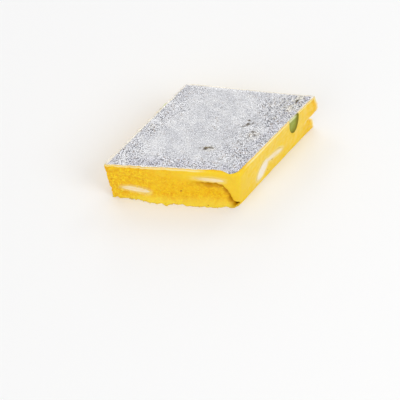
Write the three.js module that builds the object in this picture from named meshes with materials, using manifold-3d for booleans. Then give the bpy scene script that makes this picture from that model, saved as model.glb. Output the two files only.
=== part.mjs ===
// Saffron cashew barfi: one diamond-cut piece of saffron milk fudge under a sheet of silver leaf.
// The knife has cut through cashews and pistachios, which show as flush inlays in the four sides.
// Millimetres, +Z up. The front side runs along +X and faces -Y. The origin is at the centre of the base.

import * as THREE from "three";
import { mergeVertices } from "three/addons/utils/BufferGeometryUtils.js";
import Module from "manifold-3d";

const wasm = await Module();
wasm.setup();

// The diamond seen from above: corner a front left, b front right, c back right, d back left
const FRONT_SIDE = 42.1;
const RIGHT_SIDE = 41.2;
const LEFT_SIDE = 43.2;
const ANGLE_AT_A = THREE.MathUtils.degToRad(59.9);
const ANGLE_AT_B = THREE.MathUtils.degToRad(121.2);
const PIECE_HEIGHT = 14.6;
const LEAF_THICKNESS = 0.2;
const BLOCK_HEIGHT = PIECE_HEIGHT - LEAF_THICKNESS;
// The knife leaned over the left side, so the sharp front left corner stands further in at the base
const LEAN_AT_A = 2.2;
// The middle of the piece's box, measured from corner a
const FRAME_CENTRE = new THREE.Vector2(32.181, 17.748);

// Worn edges: rounded along the top, most at corner b, and the base, and drawn in towards each upright corner
const TOP_ROUND = { a: 0.35, b: 1.15, c: 0.25, d: 0.5 };
const BASE_ROUND = 0.25;
const CORNER_WEAR = {
  a: { reach: 1.4, depth: 0.3 },
  b: { reach: 0.8, depth: 0.15 },
  c: { reach: 1.6, depth: 0.1 },
  d: { reach: 2.4, depth: 0.5 },
};

// Lumps of the paste: crossed pairs of waves, in radians for each millimetre
const COARSE_WAVES = { along: 0.9, up: 0.4, crossAlong: -0.35, crossUp: 1.1 };
const FINE_WAVES = { along: 2.1, up: -1.3, crossAlong: 1.2, crossUp: 1.9 };
const GRIT_WAVES = { along: 2.8, up: 1.5, crossAlong: -1.7, crossUp: 2.4 };
const COARSE_SHARE = 0.6;
const CRUMBLY_RELIEF = 0.22;
const GRIT_RELIEF = 0.16;
const CUT_RELIEF = 0.09;

// Front side: the lower left has crumbled back behind a crack, which is sharp towards corner b and runs out
// further at the base, and a foot of paste spreads under it
const LEDGE = { x: 33.7, z: 0.8, across: 5.7, up: 8.2, depth: 0.75, from: 18, to: 30 };
const LEDGE_SOFT = { right: 0.05, left: 0.35, from: 26, to: 33 };
const LEDGE_FLARE = { reach: 2.6, height: 2.6, curve: 1.3 };
const FOOT = { reach: 2.0, height: 3.4, curve: 1.7, from: -6, to: 22, fall: 36, fallBy: 0.85 };
const FOOT_JAGGED = { share: 0.2, first: 1.9, second: 0.8 };

// Back right corner, torn by the knife: a bulge over a notch over a low lobe
const TORN_BULGE = { x: 0, z: 8.9, width: 4.2, height: 4.0, push: 0.8 };
const TORN_NOTCH = { x: 0, z: 5.4, width: 3.4, height: 1.3, push: -1.3 };
const TORN_LOBE = { x: 0, z: 1.2, width: 3.2, height: 1.3, push: 0.15 };
const TORN_REACH = 7;

// Right, back and left sides
const RIGHT_HOLLOW = { x: 22, z: 7, width: 13, height: 9, push: -0.25 };
const RIGHT_RIM = { reach: 0.35, height: 1.1, curve: 2 };
const BACK_DENT = { x: 29, z: 9, width: 5, height: 3, push: -0.45 };
const LEFT_SWELL = { x: 40.2, z: 12, width: 5, height: 6, push: 0.55 };
const LEFT_CRUMBLE = { x: 14, z: 2.5, width: 7, height: 3, push: -0.6 };

// Silver leaf: it ends near the start of the rounded rim, further in along the front right, and is wrinkled
const LEAF_REACH = 0.15;
const LEAF_RAGGED = 0.1;
const LEAF_RAGGED_WAVES = { first: 1.3, second: 3.1 };
const LEAF_BARE_EDGE = { x: 33.5, z: 0, width: 3.6, height: 1, push: 0.3 };
const LEAF_WRINKLE = 0.07;
const LEAF_TEARS = [
  { x: 31.3, y: 9.95, length: 2.2, width: 0.8, turn: 0.15 },
  { x: 42.9, y: 21.3, length: 1.3, width: 0.6, turn: 0.9 },
  { x: 57.8, y: 32.4, length: 1.5, width: 0.7, turn: 1.0 },
];
const TEAR_SIDES = 9;

// Room that each inlaid nut keeps to its pocket and to the leaf
const CLEARANCE = 0.3;

// How finely the paste, the leaf and the nuts are divided
const BLOCK_STEPS = { side: 42, up: 14 };
const LEAF_GRID = { along: 22, deep: 22, up: 1 };
const NUT_SEGMENTS = { round: 18, deep: 8 };
const BLOCK_SPREAD = 0.541;
const HEIGHT_SPREAD = 0.836;
const LEAF_SPREAD = 0.3;
// A push on one side dies away over this share of the piece
const PUSH_REACH = 0.25;

const MATERIALS = {
  paste: new THREE.MeshStandardMaterial({ color: 0xf0be2c, roughness: 0.62, metalness: 0 }),
  leaf: new THREE.MeshStandardMaterial({ color: 0xd4d4d8, roughness: 0.42, metalness: 0.9 }),
  cashew: new THREE.MeshStandardMaterial({ color: 0xf2dcb4, roughness: 0.5, metalness: 0 }),
  pistachio: new THREE.MeshStandardMaterial({ color: 0x98a350, roughness: 0.55, metalness: 0 }),
};

// The four corners at a height, as points on the plan
function cornersAt(z) {
  const lean = LEAN_AT_A * (1 - z / BLOCK_HEIGHT);
  const rightRun = Math.PI - ANGLE_AT_B;
  return {
    a: new THREE.Vector2(lean, 0),
    b: new THREE.Vector2(FRONT_SIDE, 0),
    c: new THREE.Vector2(
      FRONT_SIDE + RIGHT_SIDE * Math.cos(rightRun),
      RIGHT_SIDE * Math.sin(rightRun),
    ),
    d: new THREE.Vector2(LEFT_SIDE * Math.cos(ANGLE_AT_A), LEFT_SIDE * Math.sin(ANGLE_AT_A)),
  };
}

const TOP_CORNERS = cornersAt(BLOCK_HEIGHT);

// Each side runs anticlockwise between two corners, seen from above
const SIDES = {
  front: { from: "a", to: "b", relief: frontRelief },
  right: { from: "b", to: "c", relief: rightRelief },
  back: { from: "c", to: "d", relief: backRelief },
  left: { from: "d", to: "a", relief: leftRelief },
};

function sideLength(side) {
  return TOP_CORNERS[side.from].distanceTo(TOP_CORNERS[side.to]);
}

// Shapes that the reliefs are made of
function smooth(low, high, value) {
  return THREE.MathUtils.smoothstep(value, low, high);
}

function swell(spot, x, z) {
  const along = (x - spot.x) / spot.width;
  const up = (z - spot.z) / spot.height;
  return spot.push * Math.exp(-(along ** 2) - up ** 2);
}

function wavePair(waves, x, z, phase) {
  const first = Math.sin(waves.along * x + waves.up * z + phase);
  return first * Math.cos(waves.crossAlong * x + waves.crossUp * z + 2 * phase);
}

function lumps(x, z, phase) {
  const coarse = COARSE_SHARE * wavePair(COARSE_WAVES, x, z, phase);
  return coarse + (1 - COARSE_SHARE) * wavePair(FINE_WAVES, x, z, 3 * phase);
}

// The texture of a side, from a clean cut at crumbled 0 to a crumbly break at 1
function paste(x, z, phase, crumbled) {
  const relief = CUT_RELIEF + (CRUMBLY_RELIEF - CUT_RELIEF) * crumbled;
  return relief * lumps(x, z, phase) + GRIT_RELIEF * crumbled * wavePair(GRIT_WAVES, x, z, phase);
}

function skirt(rim, z) {
  return rim.reach * Math.max(0, 1 - z / rim.height) ** rim.curve;
}

// How far each side stands out of its plane, x along the side from its first corner and z up
function frontRelief(x, z) {
  const up = Math.max(0, z - LEDGE.z) / LEDGE.up;
  const across = Math.max(0, x - LEDGE.x - skirt(LEDGE_FLARE, z)) / LEDGE.across;
  const sharp = smooth(LEDGE_SOFT.from, LEDGE_SOFT.to, x);
  const soft = THREE.MathUtils.lerp(LEDGE_SOFT.left, LEDGE_SOFT.right, sharp);
  const behindCrack = 1 - smooth(1 - soft, 1 + soft, Math.hypot(across, up));
  const nearCorner = smooth(LEDGE.from, LEDGE.to, x);
  const crumbled = 1 - nearCorner * (1 - behindCrack);
  const spread = smooth(FOOT.from, FOOT.to, x) * (1 - FOOT.fallBy * smooth(FOOT.fall, FRONT_SIDE, x));
  const jagged = 1 + FOOT_JAGGED.share * Math.sin(FOOT_JAGGED.first * x) * Math.sin(FOOT_JAGGED.second * x);
  const step = LEDGE.depth * nearCorner * behindCrack;
  return spread * jagged * skirt(FOOT, z) - step + paste(x, z, 0.4, crumbled);
}

function tornCorner(distance, z) {
  return swell(TORN_BULGE, distance, z) + swell(TORN_NOTCH, distance, z) + swell(TORN_LOBE, distance, z);
}

function tornShare(distance) {
  return 1 - smooth(0, TORN_REACH, distance);
}

function rightRelief(x, z) {
  const distance = RIGHT_SIDE - x;
  const cut = swell(RIGHT_HOLLOW, x, z) + skirt(RIGHT_RIM, z);
  return cut + tornCorner(distance, z) + paste(x, z, 1.7, tornShare(distance));
}

function backRelief(x, z) {
  const cut = swell(BACK_DENT, x, z) + skirt(RIGHT_RIM, z);
  return cut + tornCorner(x, z) + paste(x, z, 2.9, tornShare(x));
}

function leftRelief(x, z) {
  return swell(LEFT_SWELL, x, z) + swell(LEFT_CRUMBLE, x, z) + paste(x, z, 4.3, 1);
}

// Wear that draws a side in at its top and base edges and towards its two upright corners
function roundInset(radius, reach) {
  return radius - Math.sqrt(radius ** 2 - reach ** 2);
}

function topRound(side, share) {
  return THREE.MathUtils.lerp(TOP_ROUND[side.from], TOP_ROUND[side.to], share);
}

function edgeInset(topRadius, z) {
  const overTop = Math.max(0, topRadius - (BLOCK_HEIGHT - z));
  const underBase = Math.max(0, BASE_ROUND - z);
  return roundInset(topRadius, overTop) + roundInset(BASE_ROUND, underBase);
}

function cornerInset(corner, distance) {
  const wear = CORNER_WEAR[corner];
  return wear.depth * Math.max(0, 1 - distance / wear.reach) ** 2;
}

function pasteSurface(name, share, z) {
  const side = SIDES[name];
  const length = sideLength(side);
  const x = share * length;
  const corners = cornerInset(side.from, x) + cornerInset(side.to, length - x);
  return side.relief(x, z) - edgeInset(topRound(side, share), z) - corners;
}

// A point of the plan at shares s along the front and t towards the back, with every side pushed out
function diamondPoint(corners, s, t, push) {
  const near = (share) => Math.max(0, 1 - share / PUSH_REACH) ** 2;
  const front = corners.a.clone().lerp(corners.b, s);
  const back = corners.d.clone().lerp(corners.c, s);
  const left = corners.a.clone().lerp(corners.d, t);
  const right = corners.b.clone().lerp(corners.c, t);
  const across = right.sub(left).normalize();
  const deep = back.clone().sub(front).normalize();
  const slant = across.cross(deep);
  const pushAcross = near(1 - s) * push("right", t) - near(s) * push("left", 1 - t);
  const pushDeep = near(1 - t) * push("back", 1 - s) - near(t) * push("front", s);
  return front
    .lerp(back, t)
    .addScaledVector(across, pushAcross / slant)
    .addScaledVector(deep, pushDeep / slant);
}

// Even shares from 0 to 1, drawn together towards both ends
function drawToEnds(share, strength) {
  return share - (strength * Math.sin(2 * Math.PI * share)) / (2 * Math.PI);
}

// Solids from closed geometry, and back again
function solidOf(geometry) {
  geometry.deleteAttribute("normal");
  geometry.deleteAttribute("uv");
  const merged = mergeVertices(geometry);
  return new wasm.Manifold(
    new wasm.Mesh({
      numProp: 3,
      vertProperties: merged.getAttribute("position").array,
      triVerts: new Uint32Array(merged.getIndex().array),
    }),
  );
}

function geometryOf(solid) {
  const mesh = solid.getMesh();
  const geometry = new THREE.BufferGeometry();
  geometry.setAttribute("position", new THREE.BufferAttribute(mesh.vertProperties, 3));
  geometry.setIndex(new THREE.BufferAttribute(mesh.triVerts, 1));
  geometry.computeVertexNormals();
  return geometry;
}

// A unit geometry made solid, its points moved by a rule from their shares along, deep and up
function shaped(geometry, pointOf) {
  const positions = geometry.getAttribute("position");
  for (let i = 0; i < positions.count; i++) {
    const point = pointOf(new THREE.Vector3().fromBufferAttribute(positions, i));
    positions.setXYZ(i, point.x, point.y, point.z);
  }
  return solidOf(geometry);
}

// The unit square with each side in even steps, drawn upwards: its flat ends have no points inside
function unitPrism(steps) {
  const outline = [];
  for (let i = 0; i < steps.side; i++) outline.push(new THREE.Vector2(i / steps.side, 0));
  for (let i = 0; i < steps.side; i++) outline.push(new THREE.Vector2(1, i / steps.side));
  for (let i = steps.side; i > 0; i--) outline.push(new THREE.Vector2(i / steps.side, 1));
  for (let i = steps.side; i > 0; i--) outline.push(new THREE.Vector2(0, i / steps.side));
  const settings = { depth: 1, steps: steps.up, bevelEnabled: false };
  return new THREE.ExtrudeGeometry(new THREE.Shape(outline), settings);
}

function unitSheet(grid) {
  const half = 0.5;
  return new THREE.BoxGeometry(1, 1, 1, grid.along, grid.deep, grid.up).translate(half, half, half);
}

function pasteBlock() {
  return shaped(unitPrism(BLOCK_STEPS), (shares) => {
    const s = drawToEnds(shares.x, BLOCK_SPREAD);
    const t = drawToEnds(shares.y, BLOCK_SPREAD);
    const z = BLOCK_HEIGHT * drawToEnds(shares.z, HEIGHT_SPREAD);
    const plan = diamondPoint(cornersAt(z), s, t, (name, share) => pasteSurface(name, share, z));
    return new THREE.Vector3(plan.x, plan.y, z);
  });
}

// How far the leaf's edge lies outside a side's plane, less than nothing where it stops short of it
function leafEdge(name, share) {
  const x = share * sideLength(SIDES[name]);
  const ragged = Math.sin(LEAF_RAGGED_WAVES.first * x) * Math.cos(LEAF_RAGGED_WAVES.second * x);
  const bare = name === "front" ? swell(LEAF_BARE_EDGE, x, 0) : 0;
  return LEAF_REACH - topRound(SIDES[name], share) - LEAF_RAGGED * (1 + ragged) - bare;
}

function tearSolid(tear) {
  const punch = new THREE.CylinderGeometry(0.5, 0.5, 1, TEAR_SIDES);
  punch.rotateX(Math.PI / 2);
  punch.scale(tear.length, tear.width, 1);
  punch.rotateZ(tear.turn);
  punch.translate(tear.x, tear.y, BLOCK_HEIGHT);
  return solidOf(punch);
}

function silverLeaf() {
  const sheet = shaped(unitSheet(LEAF_GRID), (shares) => {
    const s = drawToEnds(shares.x, LEAF_SPREAD);
    const t = drawToEnds(shares.y, LEAF_SPREAD);
    const plan = diamondPoint(TOP_CORNERS, s, t, leafEdge);
    const face = LEAF_THICKNESS + LEAF_WRINKLE * lumps(plan.x, plan.y, 0.9);
    return new THREE.Vector3(plan.x, plan.y, BLOCK_HEIGHT + shares.z * face);
  });
  return LEAF_TEARS.reduce((leaf, tear) => leaf.subtract(tearSolid(tear)), sheet);
}

// One lobe of a nut, centred on the cut: length along the side, height up it and depth into the paste.
// It bows up by bend towards its ends, and taper makes its far end fuller than its near one.
function nutLobe(lobe, side, grow) {
  const form = new THREE.SphereGeometry(1, NUT_SEGMENTS.round, NUT_SEGMENTS.deep);
  const positions = form.getAttribute("position");
  for (let i = 0; i < positions.count; i++) {
    const end = positions.getX(i);
    const height = (lobe.height / 2) * (1 + (lobe.taper ?? 0) * end) + grow;
    const x = end * (lobe.length / 2 + grow);
    const y = positions.getY(i) * (lobe.depth + grow);
    positions.setXYZ(i, x, y, positions.getZ(i) * height + (lobe.bend ?? 0) * end ** 2);
  }
  form.rotateY(-THREE.MathUtils.degToRad(lobe.tilt ?? 0));
  const start = TOP_CORNERS[side.from];
  const run = TOP_CORNERS[side.to].clone().sub(start).normalize();
  const centre = start.clone().addScaledVector(run, lobe.x);
  const turn = new THREE.Matrix4().makeRotationZ(run.angle());
  form.applyMatrix4(turn.setPosition(centre.x, centre.y, lobe.z));
  return solidOf(form);
}

function nutSolid(nut, grow) {
  const lobes = nut.lobes.map((lobe) => nutLobe(lobe, SIDES[nut.side], grow));
  return lobes.reduce((whole, lobe) => whole.add(lobe));
}

// The nuts, each with the side that cuts it: x along that side, z up from the base, tilt in degrees
const NUTS = [
  {
    name: "cashew_front_left",
    side: "front",
    material: MATERIALS.cashew,
    lobes: [{ x: 9.71, z: 4.15, length: 9.2, height: 2.4, depth: 2.2, tilt: -9.5, bend: -0.15 }],
  },
  {
    name: "cashew_front_right",
    side: "front",
    material: MATERIALS.cashew,
    lobes: [{ x: 32.6, z: 11.0, length: 9.4, height: 1.8, depth: 2.2, tilt: -3.3, taper: 0.25 }],
  },
  {
    name: "cashew_right",
    side: "right",
    material: MATERIALS.cashew,
    lobes: [
      { x: 12.6, z: 5.1, length: 8.6, height: 5.3, depth: 2.8, tilt: 52 },
      { x: 18.5, z: 6.4, length: 11.2, height: 2.9, depth: 2.0, tilt: -14, bend: -0.2, taper: 0.1 },
    ],
  },
  {
    name: "pistachio_right",
    side: "right",
    material: MATERIALS.pistachio,
    lobes: [{ x: 29.55, z: 12.8, length: 4.9, height: 11.6, depth: 1.9, tilt: 6 }],
  },
  {
    name: "cashew_back",
    side: "back",
    material: MATERIALS.cashew,
    lobes: [{ x: 17.0, z: 7.2, length: 8.8, height: 4.2, depth: 2.8, tilt: 14, bend: 1.1 }],
  },
  {
    name: "cashew_back_small",
    side: "back",
    material: MATERIALS.cashew,
    lobes: [{ x: 33.5, z: 3.6, length: 3.8, height: 2.2, depth: 1.8, tilt: -18 }],
  },
  {
    name: "cashew_left",
    side: "left",
    material: MATERIALS.cashew,
    lobes: [{ x: 28.5, z: 8.6, length: 8.4, height: 2.6, depth: 2.3, tilt: 8, bend: 0.3 }],
  },
  {
    name: "pistachio_left",
    side: "left",
    material: MATERIALS.pistachio,
    lobes: [{ x: 12.5, z: 13.6, length: 4.2, height: 4.6, depth: 1.7 }],
  },
];

// A box as wide as the piece that reaches from the base to just below the leaf
function belowLeaf() {
  const reach = 2 * (FRONT_SIDE + RIGHT_SIDE);
  const box = new THREE.BoxGeometry(reach, reach, BLOCK_HEIGHT);
  return solidOf(box.translate(0, 0, BLOCK_HEIGHT / 2 - CLEARANCE));
}

function namedMesh(name, solid, material) {
  const mesh = new THREE.Mesh(geometryOf(solid), material);
  mesh.name = name;
  return mesh;
}

// The whole piece: the nuts are cut flush with the paste, and the paste is hollowed round each
function barfiPiece() {
  const whole = pasteBlock();
  const underLeaf = whole.intersect(belowLeaf());
  const piece = new THREE.Group();
  let paste = whole;
  for (const nut of NUTS) {
    paste = paste.subtract(nutSolid(nut, CLEARANCE));
    piece.add(namedMesh(nut.name, nutSolid(nut, 0).intersect(underLeaf), nut.material));
  }
  piece.add(namedMesh("barfi_block", paste, MATERIALS.paste));
  piece.add(namedMesh("silver_leaf", silverLeaf(), MATERIALS.leaf));
  piece.position.set(-FRAME_CENTRE.x, -FRAME_CENTRE.y, 0);
  return piece;
}

const barfi = new THREE.Group();
barfi.name = "saffron_cashew_barfi";
barfi.add(barfiPiece());

export default barfi;
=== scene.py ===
"""One piece of saffron cashew barfi: a diamond of saffron milk fudge under silver leaf, cut through its nuts.

The paste, the leaf, the nuts and the crumbs are modelled in millimetres, in a plan whose origin is the sharp
front left corner, and each finished mesh is moved and scaled into the frame as its last step.
"""

import logging
import math
import random
from dataclasses import dataclass, field, replace
from enum import Enum
from functools import cache
from typing import Callable, Iterable, Optional

import bmesh
import bpy
from mathutils import Matrix, Vector, noise
from mathutils.bvhtree import BVHTree


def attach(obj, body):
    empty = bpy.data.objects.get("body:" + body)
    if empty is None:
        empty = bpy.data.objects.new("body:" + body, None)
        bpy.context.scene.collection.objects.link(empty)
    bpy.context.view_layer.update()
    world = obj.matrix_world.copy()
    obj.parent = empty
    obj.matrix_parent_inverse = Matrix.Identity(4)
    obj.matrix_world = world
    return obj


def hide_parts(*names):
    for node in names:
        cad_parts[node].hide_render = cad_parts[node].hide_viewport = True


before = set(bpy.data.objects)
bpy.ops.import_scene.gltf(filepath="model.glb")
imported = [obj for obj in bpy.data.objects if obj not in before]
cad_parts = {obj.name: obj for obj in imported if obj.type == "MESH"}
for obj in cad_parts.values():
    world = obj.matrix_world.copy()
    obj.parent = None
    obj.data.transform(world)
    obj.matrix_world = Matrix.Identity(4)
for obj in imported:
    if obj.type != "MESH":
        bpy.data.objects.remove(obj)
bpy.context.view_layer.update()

LOG = logging.getLogger("barfi")
MM = 0.001
BODY = "root"
# The middle of the piece's box, measured from the front left corner, where the frame's origin lies
FRAME_CENTRE = Vector((32.181, 17.748, 0.0))

Push = Callable[["Side", float], float]
# A screen colour, with red, green and blue from 0 to 255
Paint = tuple[int, int, int]
Span = tuple[float, float]
Masks = dict[str, list[float]]
BMesh = bmesh.types.BMesh
Socket = bpy.types.NodeSocket


class Side(Enum):
    """The four cut sides, anticlockwise from above, each between two corners of the diamond."""

    FRONT = ("a", "b")
    RIGHT = ("b", "c")
    BACK = ("c", "d")
    LEFT = ("d", "a")

    @property
    def start(self) -> str:
        """The corner where the side starts."""
        return self.value[0]

    @property
    def end(self) -> str:
        """The corner where the side ends."""
        return self.value[1]

    @property
    def number(self) -> int:
        """Its place among the sides, from 0."""
        return list(Side).index(self)


class Kernel(Enum):
    """The two kinds of nut in the paste."""

    CASHEW = "cashew"
    PISTACHIO = "pistachio"


def smooth(low: float, high: float, value: float) -> float:
    """A step from 0 at low to 1 at high with no corners.

    Args:
        low: The value where the step starts.
        high: The value where it ends.
        value: The value to place on it.

    Returns:
        The height of the step, from 0 to 1.
    """
    share = min(1.0, max(0.0, (value - low) / (high - low)))
    return share * share * (3.0 - 2.0 * share)


def to_linear(red: int, green: int, blue: int) -> tuple[float, float, float, float]:
    """A screen colour as the linear colour that a shader takes.

    Args:
        red: Red from 0 to 255.
        green: Green from 0 to 255.
        blue: Blue from 0 to 255.

    Returns:
        Linear red, green and blue, and an alpha of 1.
    """
    shares = [part / 255.0 for part in (red, green, blue)]
    linear = [s / 12.92 if s <= 0.04045 else ((s + 0.055) / 1.055) ** 2.4 for s in shares]
    return (linear[0], linear[1], linear[2], 1.0)


def turned(x: float, y: float, degrees: float) -> tuple[float, float]:
    """A point of a plane after an anticlockwise turn about the origin."""
    turn = math.radians(degrees)
    return x * math.cos(turn) - y * math.sin(turn), x * math.sin(turn) + y * math.cos(turn)


@dataclass(frozen=True)
class Swell:
    """A rounded rise or, with a negative push, a hollow in a face."""

    x: float
    z: float
    width: float
    height: float
    push: float

    def at(self, x: float, z: float) -> float:
        """How far it pushes the surface out at a place, or how strong it is there where it is a mask.

        Args:
            x: Distance along the side or the front of the leaf.
            z: Height above the base, or distance back on the leaf.

        Returns:
            The push or the strength.
        """
        along = (x - self.x) / self.width
        up = (z - self.z) / self.height
        return self.push * math.exp(-along * along - up * up)


@dataclass(frozen=True)
class Drift:
    """Soft noise over a face, with a pitch in millimetres and a layer of its own."""

    pitch: float
    layer: float

    def at(self, x: float, y: float) -> float:
        """The noise at a place, between -1 and 1."""
        return noise.noise(Vector((x, y, self.layer)) / self.pitch)


@dataclass(frozen=True)
class Skirt:
    """A foot of paste that spreads at the base."""

    reach: float
    height: float
    curve: float

    def at(self, z: float) -> float:
        """How far it spreads at a height."""
        return self.reach * max(0.0, 1.0 - z / self.height) ** self.curve


@dataclass(frozen=True)
class Grain:
    """Packed grains of paste: uneven round heads with gaps between them, sizes in millimetres."""

    pitch: float
    relief: float
    roundness: float = 0.8
    evenness: float = 0.35
    own_pattern: float = 7.3

    def at(self, place: Vector) -> float:
        """The height at a place, from 0 in a gap to 1 on the highest heads.

        Args:
            place: A point in millimetres.

        Returns:
            The height.
        """
        distances, centres = noise.voronoi(place / self.pitch)
        head = max(0.0, 1.0 - (distances[0] / self.roundness) ** 2)
        own = 0.5 + 0.5 * noise.cell(centres[0] * self.own_pattern)
        return head * (self.evenness + (1.0 - self.evenness) * own)


@dataclass(frozen=True)
class Plan:
    """The diamond seen from above: corner a front left, b front right, c back right, d back left."""

    front_side: float = 42.1
    right_side: float = 41.2
    left_side: float = 43.2
    angle_a: float = math.radians(59.9)
    angle_b: float = math.radians(121.2)
    piece_height: float = 14.6
    leaf_thickness: float = 0.2
    lean_at_a: float = 2.2
    push_reach: float = 0.25

    @property
    def height(self) -> float:
        """The height of the paste, up to the leaf."""
        return self.piece_height - self.leaf_thickness

    def corners(self, z: float) -> dict[str, Vector]:
        """The four corners at a height, as points on the plan.

        Args:
            z: Height above the base.

        Returns:
            Each corner by its letter.
        """
        lean = self.lean_at_a * (1.0 - z / self.height)
        run = math.pi - self.angle_b
        return {
            "a": Vector((lean, 0.0)),
            "b": Vector((self.front_side, 0.0)),
            "c": Vector((self.front_side + self.right_side * math.cos(run), self.right_side * math.sin(run))),
            "d": Vector((self.left_side * math.cos(self.angle_a), self.left_side * math.sin(self.angle_a))),
        }

    def length(self, side: Side) -> float:
        """The length of a side along its top edge."""
        top = self.corners(self.height)
        return (top[side.end] - top[side.start]).length

    def run(self, side: Side) -> Vector:
        """The level direction along a side, from its first corner."""
        top = self.corners(self.height)
        return (top[side.end] - top[side.start]).normalized()

    def outward(self, side: Side) -> Vector:
        """The level direction out of a side."""
        run = self.run(side)
        return Vector((run.y, -run.x))

    def place(self, side: Side, x: float, z: float, out: float = 0.0) -> Vector:
        """A point by its place on a side.

        Args:
            side: The side.
            x: Distance along the side from its first corner.
            z: Height above the base.
            out: Distance out of the side's plane.

        Returns:
            The point in the plan's frame.
        """
        flat = self.corners(self.height)[side.start] + self.run(side) * x + self.outward(side) * out
        return Vector((flat.x, flat.y, z))

    def side_coordinates(self, side: Side, point: Vector) -> tuple[float, float]:
        """Distance along a side and distance out of its plane for a point."""
        flat = point.to_2d() - self.corners(self.height)[side.start]
        return flat.dot(self.run(side)), flat.dot(self.outward(side))

    def point(self, s: float, t: float, z: float, push: Push) -> Vector:
        """A point at shares s along the front and t towards the back, with every side pushed out.

        Args:
            s: Share of the way from the left side to the right side.
            t: Share of the way from the front side to the back side.
            z: Height above the base, which sets how far corner a leans in.
            push: Gives how far a side stands out at a share of its length.

        Returns:
            The pushed point in the plan's frame.
        """
        corner = self.corners(z)
        front = corner["a"].lerp(corner["b"], s)
        back = corner["d"].lerp(corner["c"], s)
        across = (corner["b"].lerp(corner["c"], t) - corner["a"].lerp(corner["d"], t)).normalized()
        deep = (back - front).normalized()
        slant = across.x * deep.y - across.y * deep.x
        shares = ((1.0 - s, Side.RIGHT, t, across), (s, Side.LEFT, 1.0 - t, -across),
                  (1.0 - t, Side.BACK, 1.0 - s, deep), (t, Side.FRONT, s, -deep))
        flat = front.lerp(back, t)
        for distance, side, along, direction in shares:
            weight = max(0.0, 1.0 - distance / self.push_reach) ** 2
            if weight > 0.0:
                flat = flat + direction * (weight * push(side, along) / slant)
        return Vector((flat.x, flat.y, z))


@dataclass(frozen=True)
class Ledge:
    """The crack of the front side: level towards the left and curving down to corner b."""

    x: float = 33.7
    z: float = 0.8
    across: float = 5.7
    up: float = 8.2
    soft: float = 0.035
    soft_left: float = 0.3
    depth: float = 0.75
    flare: float = 2.6
    flare_height: float = 2.6
    flare_curve: float = 1.3
    fade_from: float = 18.0
    fade_to: float = 30.0
    sharp_from: float = 26.0
    sharp_to: float = 33.0
    wander: float = 0.07
    wandering: Drift = Drift(1.3, 3.0)
    gap_ring: float = 0.955
    gap_width: float = 0.11
    gap_depth: float = 0.5
    clear_foot: Span = (0.4, 1.6)
    # The painted shade behind the crack's lip: its patches, its band and where it starts
    scorch_patches: Drift = Drift(1.1, 17.0)
    scorch_shares: Span = (0.95, 1.1)
    scorch_from: Span = (0.66, 0.8)
    scorch_to: Span = (0.98, 1.03)
    scorch_lead: float = 2.0

    def ring(self, x: float, z: float) -> float:
        """1 on the crack, less under and behind it, more towards corner b and the top.

        Args:
            x: Distance along the side.
            z: Height above the base.

        Returns:
            The ring.
        """
        flare = self.flare * max(0.0, 1.0 - z / self.flare_height) ** self.flare_curve
        up = max(0.0, z - self.z) / self.up
        across = max(0.0, x - self.x - flare) / self.across
        ragged = self.wander * self.wandering.at(x, z)
        return math.hypot(across, up) + ragged

    def gap(self, x: float, z: float) -> float:
        """1 in the narrow gap under the lip of the crack, 0 away from it: the gap is pressed in and painted
        with shade.
        """
        off = (self.ring(x, z) - self.gap_ring) / self.gap_width
        return math.exp(-off * off) * smooth(self.sharp_from, self.sharp_to, x) * smooth(*self.clear_foot, z)

    def scorch(self, x: float, z: float) -> float:
        """How much painted shade the crack's lip casts on the broken face: in patches just behind the crack,
        from 0 to 1.

        Args:
            x: Distance along the side.
            z: Height above the base.

        Returns:
            The strength of the scorch.
        """
        ring = self.ring(x, z)
        even, patchy = self.scorch_shares
        patch = even + patchy * self.scorch_patches.at(x, z)
        band = smooth(*self.scorch_from, ring) * (1.0 - smooth(*self.scorch_to, ring))
        band *= smooth(*self.clear_foot, z)
        return min(1.0, max(0.0, band * patch)) * smooth(self.sharp_from - self.scorch_lead, self.sharp_to, x)

    def behind(self, x: float, z: float) -> float:
        """1 where the surface has crumbled back, 0 on the whole corner."""
        soft = self.soft + self.soft_left * (1.0 - smooth(self.sharp_from, self.sharp_to, x))
        return 1.0 - smooth(1.0 - soft, 1.0 + soft, self.ring(x, z))

    def near(self, x: float) -> float:
        """How far the crack has opened at a distance along the side, from 0 to 1."""
        return smooth(self.fade_from, self.fade_to, x)


@dataclass(frozen=True)
class Surface:
    """What the paste is like at a place of a side: how far out it stands, and what colours it."""

    push: float
    crumbly: float = 0.0
    # How high the place lies on its grains, which sets the painted highlight on the heads and the painted
    # shade on the low grain
    heads: float = 0.5
    # Painted light on the foot, which faces up
    foot: float = 0.0
    # Painted shade in the crack's gap and in the cavity at corner b
    gap: float = 0.0
    # Painted highlight along the top rim and the torn edge, and paler patches
    rim: float = 0.0
    # Painted shade behind the crack's lip, and darker patches on the torn corner
    scorch: float = 0.0


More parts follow.
